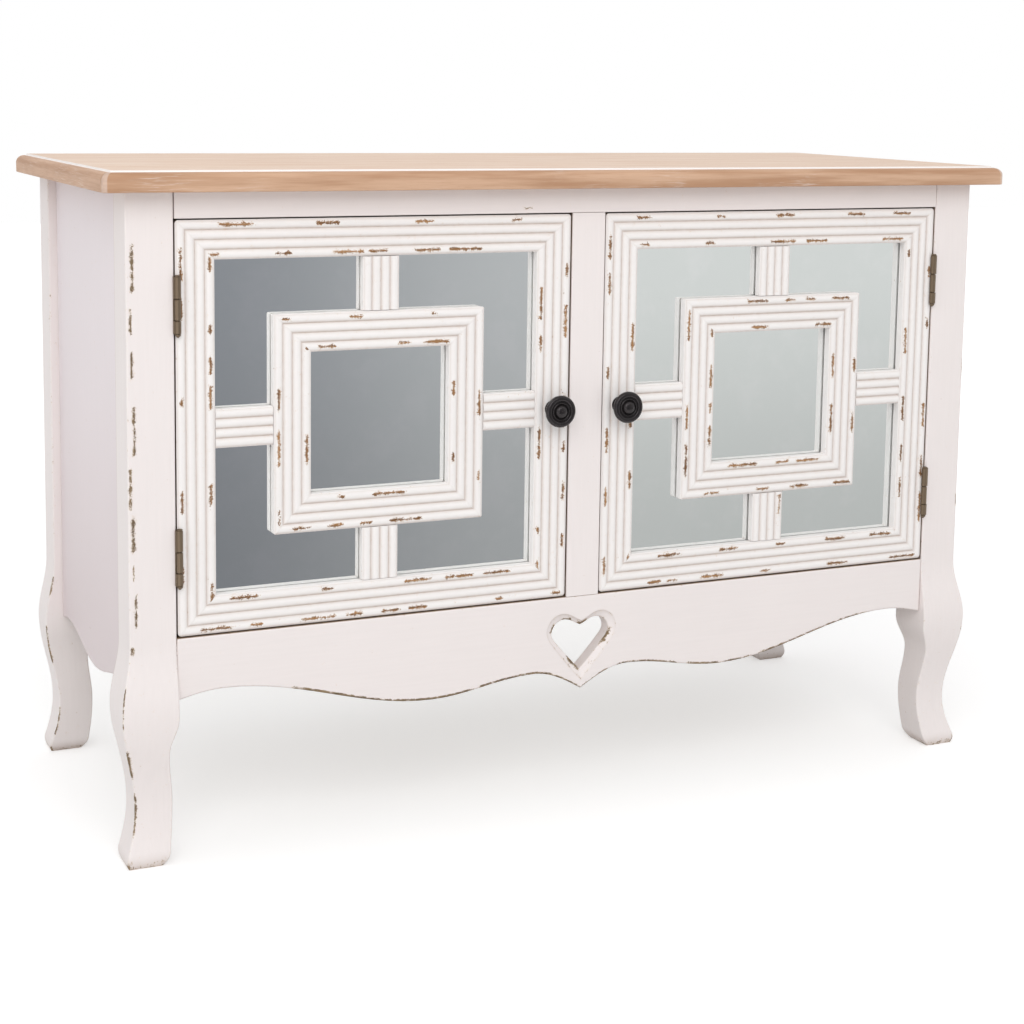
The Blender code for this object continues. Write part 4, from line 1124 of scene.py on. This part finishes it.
# From the front to the door, as shares of the radius and of the reach
KNOB_DOME = ((0.004, 1), (0.10, 0.998), (0.20, 0.985), (0.29, 0.958), (0.36, 0.92), (0.40, 0.878),
             (0.425, 0.838), (0.455, 0.82))
KNOB_RING = ((0.48, 0.836), (0.51, 0.862), (0.545, 0.868), (0.58, 0.852), (0.60, 0.828), (0.63, 0.826))
KNOB_RIM = ((0.665, 0.862), (0.72, 0.89), (0.80, 0.90), (0.87, 0.892), (0.925, 0.872), (0.965, 0.845),
            (0.99, 0.81), (1, 0.765), (0.995, 0.72), (0.96, 0.675), (0.90, 0.65))
KNOB_WAIST = ((0.80, 0.62), (0.64, 0.57), (0.50, 0.51), (0.42, 0.44), (0.39, 0.36), (0.385, 0.26),
              (0.39, 0.18))
KNOB_ROSE = ((0.41, 0.125), (0.45, 0.1), (0.50, 0.09), (0.52, 0.07), (0.52, 0.012), (0.50, 0.01),
             (0.004, 0.01))
KNOB_SHARES = KNOB_DOME + KNOB_RING + KNOB_RIM + KNOB_WAIST + KNOB_ROSE


def directions(axis):
    """The axis and two directions across it."""
    axis = Vector(axis)
    across = axis.orthogonal().normalized()
    return axis, across, axis.cross(across)


def lathe(outline, centre, axis, facets=48):
    """Turned skin through (radius, distance along the axis) points."""
    axis, across, other = directions(axis)
    rings = []
    for radius, distance in outline:
        turns = [2 * math.pi * index / facets for index in range(facets)]
        rings.append([(centre + axis * distance + (across * math.cos(turn) + other * math.sin(turn)) * radius,
                       0.0, 0.0) for turn in turns])
    return skin(rings)


for side, side_name in SIDES:
    low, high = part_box(f"{side_name}_door_knob")
    centre = Vector(((low.x + high.x) / 2, front_y, (low.z + high.z) / 2))
    outline = [(KNOB_RADIUS * across, KNOB_REACH * out) for across, out in KNOB_SHARES]
    add_piece(f"{side_name}_turned_knob", lathe(outline, centre, (0, -1, 0)), f"{side_name}_door",
              "black_iron", [iron], f"{side_name}_door_knob")
print("knobs at height", round(centre.z, 4))

# %% [markdown]
# ## Screws
# Crossed screws hold the hinge leaves, the knobs, the strike plates and the catch. The recess
# could be cut by a Boolean for each of them. It is cheaper to let the last rings of the head take
# the outline of a cross and go down.

# %% Screws
SCREW_FACETS = 32
HINGE_SCREW_DEPTH, HINGE_SCREW_HALF_SPACING = 0.0085, 0.0175
HINGE_SCREW_SEATS = {"door": -0.0018, "post": 0.0002}
# Radius and rise of each kind of head
HINGE_SCREW, KNOB_SCREW = (0.0019, 0.0001), (0.0035, 0.0014)
STRIKE_SCREW, CATCH_SCREW = (0.0026, 0.0002), (0.0028, 0.0008)


def cross_head(centre, axis, radius, rise):
    """Screw head with a cross recess; rise is how far its crown stands up."""
    axis, across, other = directions(axis)
    arm, half = radius * 0.62, radius * 0.13

    def ring(height, shape):
        points = []
        for index in range(SCREW_FACETS):
            turn = 2 * math.pi * (index + 0.5) / SCREW_FACETS
            c, s = abs(math.cos(turn)), abs(math.sin(turn))
            size = max(min(arm / c, half / s), min(arm / s, half / c)) if shape == "cross" else shape
            points.append((centre + axis * height + (across * math.cos(turn) + other * math.sin(turn)) * size,
                           0.4, 0.0))
        return points

    return skin([ring(-0.0006, radius), ring(0, radius), ring(rise * 0.75, radius * 0.85),
                 ring(rise, "cross"), ring(rise - radius * 0.35, "cross")])


def gather(shapes):
    """Several skins as one."""
    joined = new_shape()
    for shape in shapes:
        mesh = bpy.data.meshes.new("part")
        shape.to_mesh(mesh)
        shape.free()
        joined.from_mesh(mesh)
        bpy.data.meshes.remove(mesh)
    return joined


def add_screws(name, body, slot, finish, heads, radius, rise):
    shapes = [cross_head(Vector(centre), axis, radius, rise) for centre, axis in heads]
    return add_piece(name, gather(shapes), body, slot, [finish])


for side, side_name in SIDES:
    for level_name in ("lower", "upper"):
        low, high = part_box(f"{side_name}_door_{level_name}_hinge_leaf")
        middle = (low.z + high.z) / 2
        levels = (middle - HINGE_SCREW_HALF_SPACING, middle + HINGE_SCREW_HALF_SPACING)
        for owner, body, facing in (("door", f"{side_name}_door", side), ("post", "cabinet", -side)):
            x = side * (POST_INNER + HINGE_SCREW_SEATS[owner])
            heads = [((x, front_y + HINGE_SCREW_DEPTH, level), (facing, 0, 0)) for level in levels]
            add_screws(f"{side_name}_{owner}_{level_name}_hinge_screws", body, "aged_bronze", bronze,
                       heads, *HINGE_SCREW)
    knob_low, knob_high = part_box(f"{side_name}_door_knob")
    centre = ((knob_low.x + knob_high.x) / 2, front_y + DOOR_THICKNESS, (knob_low.z + knob_high.z) / 2)
    add_screws(f"{side_name}_knob_screw", f"{side_name}_door", "zinc_steel", zinc,
               [(centre, (0, 1, 0))], *KNOB_SCREW)

# %% [markdown]
# ## Hinges
# Each butt hinge is two flat leaves whose rolled knuckles share a pin: two knuckles of the post's
# leaf with one of the door's between them. One mesh could show a whole hinge at rest, but a leaf
# turns with its door. So each leaf is a piece of its own, and the pin stays with the cabinet.

# %% Hinges
HINGE_FACETS = 24
KNUCKLE_RADIUS, PIN_RADIUS = 0.0034, 0.0014
LEAF_THICKNESS = 0.0012
DOOR_LEAF_OUT = 0.0014
POST_TAB_NEAR = 0.0022
TAB_OVERLAP = 0.0004
KNUCKLES = {"post": ((0, 0.2255), (0.6145, 1)), "door": ((0.2345, 0.6055),)}
LEAF_START = {"post": (0.0024, -0.0010), "door": (0.0038, 0.0024)}


def knuckle(axis, low, high):
    """Rolled knuckle with softened ends, between two heights."""
    soft = 0.0007
    outline = ((PIN_RADIUS, low), (KNUCKLE_RADIUS - soft, low), (KNUCKLE_RADIUS, low + soft),
               (KNUCKLE_RADIUS, high - soft), (KNUCKLE_RADIUS - soft, high), (PIN_RADIUS, high))
    return lathe(outline, axis, (0, 0, 1), HINGE_FACETS)


def upright_block(x_pair, y_pair, z_pair):
    lows, highs = zip(*(sorted(pair) for pair in (x_pair, y_pair, z_pair)))
    return beam(Vector(lows), Vector(highs), 2, 0.0002)


def hinge_leaf(side, owner, node):
    """Flat leaf, the knuckles of its side, and the tabs that join them to it."""
    low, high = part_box(node)
    near, far = (low.x, high.x) if side > 0 else (high.x, low.x)
    axis = Vector((near + side * KNUCKLE_RADIUS, low.y + KNUCKLE_RADIUS, 0))
    out = far if owner == "post" else axis.x + side * DOOR_LEAF_OUT
    leaf_start, tab_start = LEAF_START[owner]
    x_pair = (out - side * LEAF_THICKNESS, out)
    shapes = [upright_block(x_pair, (axis.y + leaf_start, high.y), (low.z, high.z))]
    for start, end in KNUCKLES[owner]:
        z_pair = (low.z + (high.z - low.z) * start, low.z + (high.z - low.z) * end)
        tab_near = axis.x + side * POST_TAB_NEAR if owner == "post" else x_pair[0]
        shapes.append(knuckle(axis, *z_pair))
        y_pair = (axis.y + tab_start, axis.y + leaf_start + TAB_OVERLAP)
        shapes.append(upright_block((tab_near, out), y_pair, z_pair))
    return gather(shapes)


def hinge_pin(node):
    """Pin with a flat cap above and a pointed finial below."""
    low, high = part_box(node)
    reach = (high.x - low.x) / 2
    outline = ((0.0003, low.z), (0.0012, low.z + 0.0006), (reach, low.z + 0.0024), (reach, low.z + 0.0036),
               (PIN_RADIUS, low.z + 0.0036), (PIN_RADIUS, high.z - 0.0012), (reach, high.z - 0.0012),
               (reach, high.z - 0.0004), (reach - 0.0006, high.z), (0.0003, high.z))
    middle = (low + high) / 2
    return lathe(outline, Vector((middle.x, middle.y, 0)), (0, 0, 1), HINGE_FACETS)


for side, side_name in SIDES:
    for level_name in ("lower", "upper"):
        for owner, body in (("post", "cabinet"), ("door", f"{side_name}_door")):
            node = f"{side_name}_{owner}_{level_name}_hinge_leaf"
            add_piece(f"bronze_{node}", hinge_leaf(side, owner, node), body, "aged_bronze", [bronze], node)
        node = f"{side_name}_{level_name}_hinge_pin"
        add_piece(f"bronze_{node}", hinge_pin(node), "cabinet", "aged_bronze", [bronze], node)

# %% [markdown]
# ## Catch
# Inside, one magnetic catch under the top rail holds both doors by a steel plate on each. One plain
# block could stand for it. Two magnet bars for each door and the screws are added, because an open
# door shows them.

# %% Catch and strike plates
MAGNET_BAR = (0.015, 0.003, 0.0016)
MAGNET_BAR_DROPS = (0.0034, 0.0082)
for side, side_name in SIDES:
    low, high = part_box(f"{side_name}_door_strike_plate")
    add_piece(f"{side_name}_steel_strike", beam(low, high, 0, 0.0003), f"{side_name}_door",
              "zinc_steel", [zinc], f"{side_name}_door_strike_plate")
    centre = ((low.x + high.x) / 2, high.y, (low.z + high.z) / 2)
    add_screws(f"{side_name}_strike_screw", f"{side_name}_door", "zinc_steel", zinc,
               [(centre, (0, 1, 0))], *STRIKE_SCREW)
STRIKE_X = centre[0]
low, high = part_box("door_catch")
add_piece("catch_body", beam(low + Vector((0, 0.0006, 0)), high, 0, 0.0012), "cabinet", "catch_plastic",
          [plastic], "door_catch")
bars = []
for side in (LEFT, RIGHT):
    for drop in MAGNET_BAR_DROPS:
        bar_low = Vector((side * STRIKE_X - MAGNET_BAR[0] / 2, low.y, high.z - drop - MAGNET_BAR[2]))
        bars.append(beam(bar_low, bar_low + Vector(MAGNET_BAR), 0, 0.0002))
add_piece("catch_magnet_plates", gather(bars), "cabinet", "zinc_steel", [magnet])
add_screws("catch_screws", "cabinet", "zinc_steel", zinc,
           [((x, (low.y + high.y) / 2, low.z), (0, 0, -1)) for x in (-0.012, 0.012)], *CATCH_SCREW)
print("catch at x", round(low.x, 3), "to", round(high.x, 3))

# %% [markdown]
# ## Nails
# The back panel is nailed on round its edge, and only the flat heads show. Separate objects would
# do, but they would crowd the list, so the turned heads are gathered into one piece.

# %% Nails of the back panel
NAIL_INSET, NAIL_SIDE_INSET = 0.012, 0.0037
NAILS_UP, NAIL_GAPS_ALONG = 8, 11
low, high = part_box("back_panel")
NAIL_OUTLINE = ((0.00002, 0.00045), (0.0009, 0.0004), (0.0014, 0.0002), (0.0015, 0), (0.0015, -0.0008))
z_pair = (low.z + NAIL_INSET, high.z - NAIL_INSET)
places = [(side * (high.x - NAIL_SIDE_INSET), z_pair[0] + (z_pair[1] - z_pair[0]) * index / (NAILS_UP - 1))
          for side in (LEFT, RIGHT) for index in range(NAILS_UP)]
places += [(low.x + (high.x - low.x) * index / NAIL_GAPS_ALONG, z)
           for index in range(1, NAIL_GAPS_ALONG) for z in z_pair]
nails = [lathe(NAIL_OUTLINE, Vector((x, high.y, z)), (0, 1, 0), 12) for x, z in places]
add_piece("back_panel_nails", gather(nails), "cabinet", "zinc_steel", [zinc])
print(len(places), "nails")

# %% [markdown]
# ## CAD nodes that keep their shape
# Flat boards that are hidden or plain gain nothing from a second mesh. They stay as the CAD made
# them, and only take a finish.

# %% Materials on the CAD nodes that stay
def dress(node, finish):
    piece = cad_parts[node]
    for index in range(len(piece.material_slots)):
        piece.material_slots[index].material = finish


KEPT = {"back_panel": inner_board, "bottom_board": inner_board, "shelf": inner_board,
        "top_back_rail": carcass_level, "bottom_back_rail": carcass_level}
for side, side_name in SIDES:
    KEPT[f"{side_name}_door_backing_board"] = fibreboard
for node, finish in KEPT.items():
    dress(node, finish)
print(len(KEPT), "CAD nodes keep their shape")

# %% [markdown]
# ## The studio
# The photograph is on plain white, in soft light that seems to come from the front left. A whole
# room could be built for it. A pale floor, two broad lamps and an even background do the same
# with far less. Mirrors show what stands in front of them, so there is a grey card that only
# reflections see.

# %% Floor and card
def stage_plane(name, corners):
    shape = bmesh.new()
    shape.faces.new([shape.verts.new(corner) for corner in corners])
    plane = place_object(name, shape)
    return plane


def ray_seen(tree):
    """1 on what the camera sees, straight or in metal or glass, and 0 on what lights the object."""
    path = tree.nodes.new("ShaderNodeLightPath")
    rays = [Wire(tree, path.outputs[name])
            for name in ("Is Camera Ray", "Is Glossy Ray", "Is Transmission Ray")]
    return rays[0].most(rays[1]).most(rays[2])


def add_floor():
    """Pale floor that turns white away from the object, as a lit backdrop does."""
    floor = stage_plane("studio_floor", ((-9, -9, 0), (9, -9, 0), (9, 9, 0), (-9, 9, 0)))
    made, shader, place = start_material("studio floor")
    shader.inputs["Base Color"].default_value = (0.74, 0.74, 0.74, 1)
    shader.inputs["Roughness"].default_value = 0.9
    away = place.node("ShaderNodeVectorMath", {"operation": "LENGTH"}, {0: place}, 1).smooth(700, 2600)
    glow = (ray_seen(made.node_tree) * (away * 0.25 + 0.42)).mix((0, 0, 0), (1, 1, 1))
    place.feed(shader.inputs["Emission Color"], glow)
    shader.inputs["Emission Strength"].default_value = 1.0
    floor.data.materials.append(made)


def add_painted_reflection_card():
    """Glowing grey card in front of the doors that only reflections see: a painted reflection,
    darker to the left and lower down.
    """
    y = -1.12
    card = stage_plane("painted_reflection_card", ((-0.5, y, 0), (1.6, y, 0), (1.6, y, 1.3), (-0.5, y, 1.3)))
    made, shader, place = start_material("painted reflection card")
    # Its emission is the painted reflection in the mirrors: darker to the left and lower down.
    run, rise = place.part(0), place.part(2)
    shade = run.smooth(-250, 420).mix((0.222, 0.232, 0.256), (0.450, 0.457, 0.467))
    shade = run.smooth(430, 560).mix(shade, (0.645, 0.656, 0.645))
    shade = shade * (rise.smooth(0, 560) * 0.30 + 0.70)
    shader.inputs["Base Color"].default_value = (0, 0, 0, 1)
    place.feed(shader.inputs["Emission Color"], shade)
    shader.inputs["Emission Strength"].default_value = 1.0
    only_in_gloss(card, made)


def only_in_gloss(plane, finish):
    plane.data.materials.append(finish)
    plane.visible_camera = False
    plane.visible_diffuse = False
    plane.visible_shadow = False
    plane.visible_transmission = False


add_floor()
add_painted_reflection_card()

# %% [markdown]
# A small lamp would throw a hard shadow, so both lamps are broad. The world adds an even grey from
# all sides. It is white only to rays that are seen, straight, in metal or through glass, so that
# it whitens the picture without lighting the object.

# %% Lights and background
def add_light(name, place, target, size, power):
    data = bpy.data.lights.new(name, "AREA")
    data.shape = "RECTANGLE"
    data.size, data.size_y = size
    data.energy = power
    lamp = bpy.data.objects.new(name, data)
    lamp.location = place
    lamp.rotation_euler = (Vector(target) - Vector(place)).to_track_quat("-Z", "Y").to_euler()
    bpy.context.scene.collection.objects.link(lamp)


def add_world(ambient):
    """White where it is seen, and a plain grey level of light on the object."""
    world = bpy.data.worlds.new("studio")
    world.use_nodes = True
    bpy.context.scene.world = world
    back = world.node_tree.nodes["Background"]
    seen = ray_seen(world.node_tree)
    seen.feed(back.inputs["Color"], seen.mix((ambient, ambient, ambient), (1, 1, 1)))
    back.inputs["Strength"].default_value = 1.0


add_light("key_light", (-1.2, -3.1, 2.6), (0, 0, 0.4), (3.0, 2.4), 57)
add_light("left_light", (-3.4, -0.6, 2.4), (-0.5, 0, 0.5), (2.4, 1.8), 7)
add_world(0.70)
bpy.context.scene.view_settings.view_transform = "Standard"
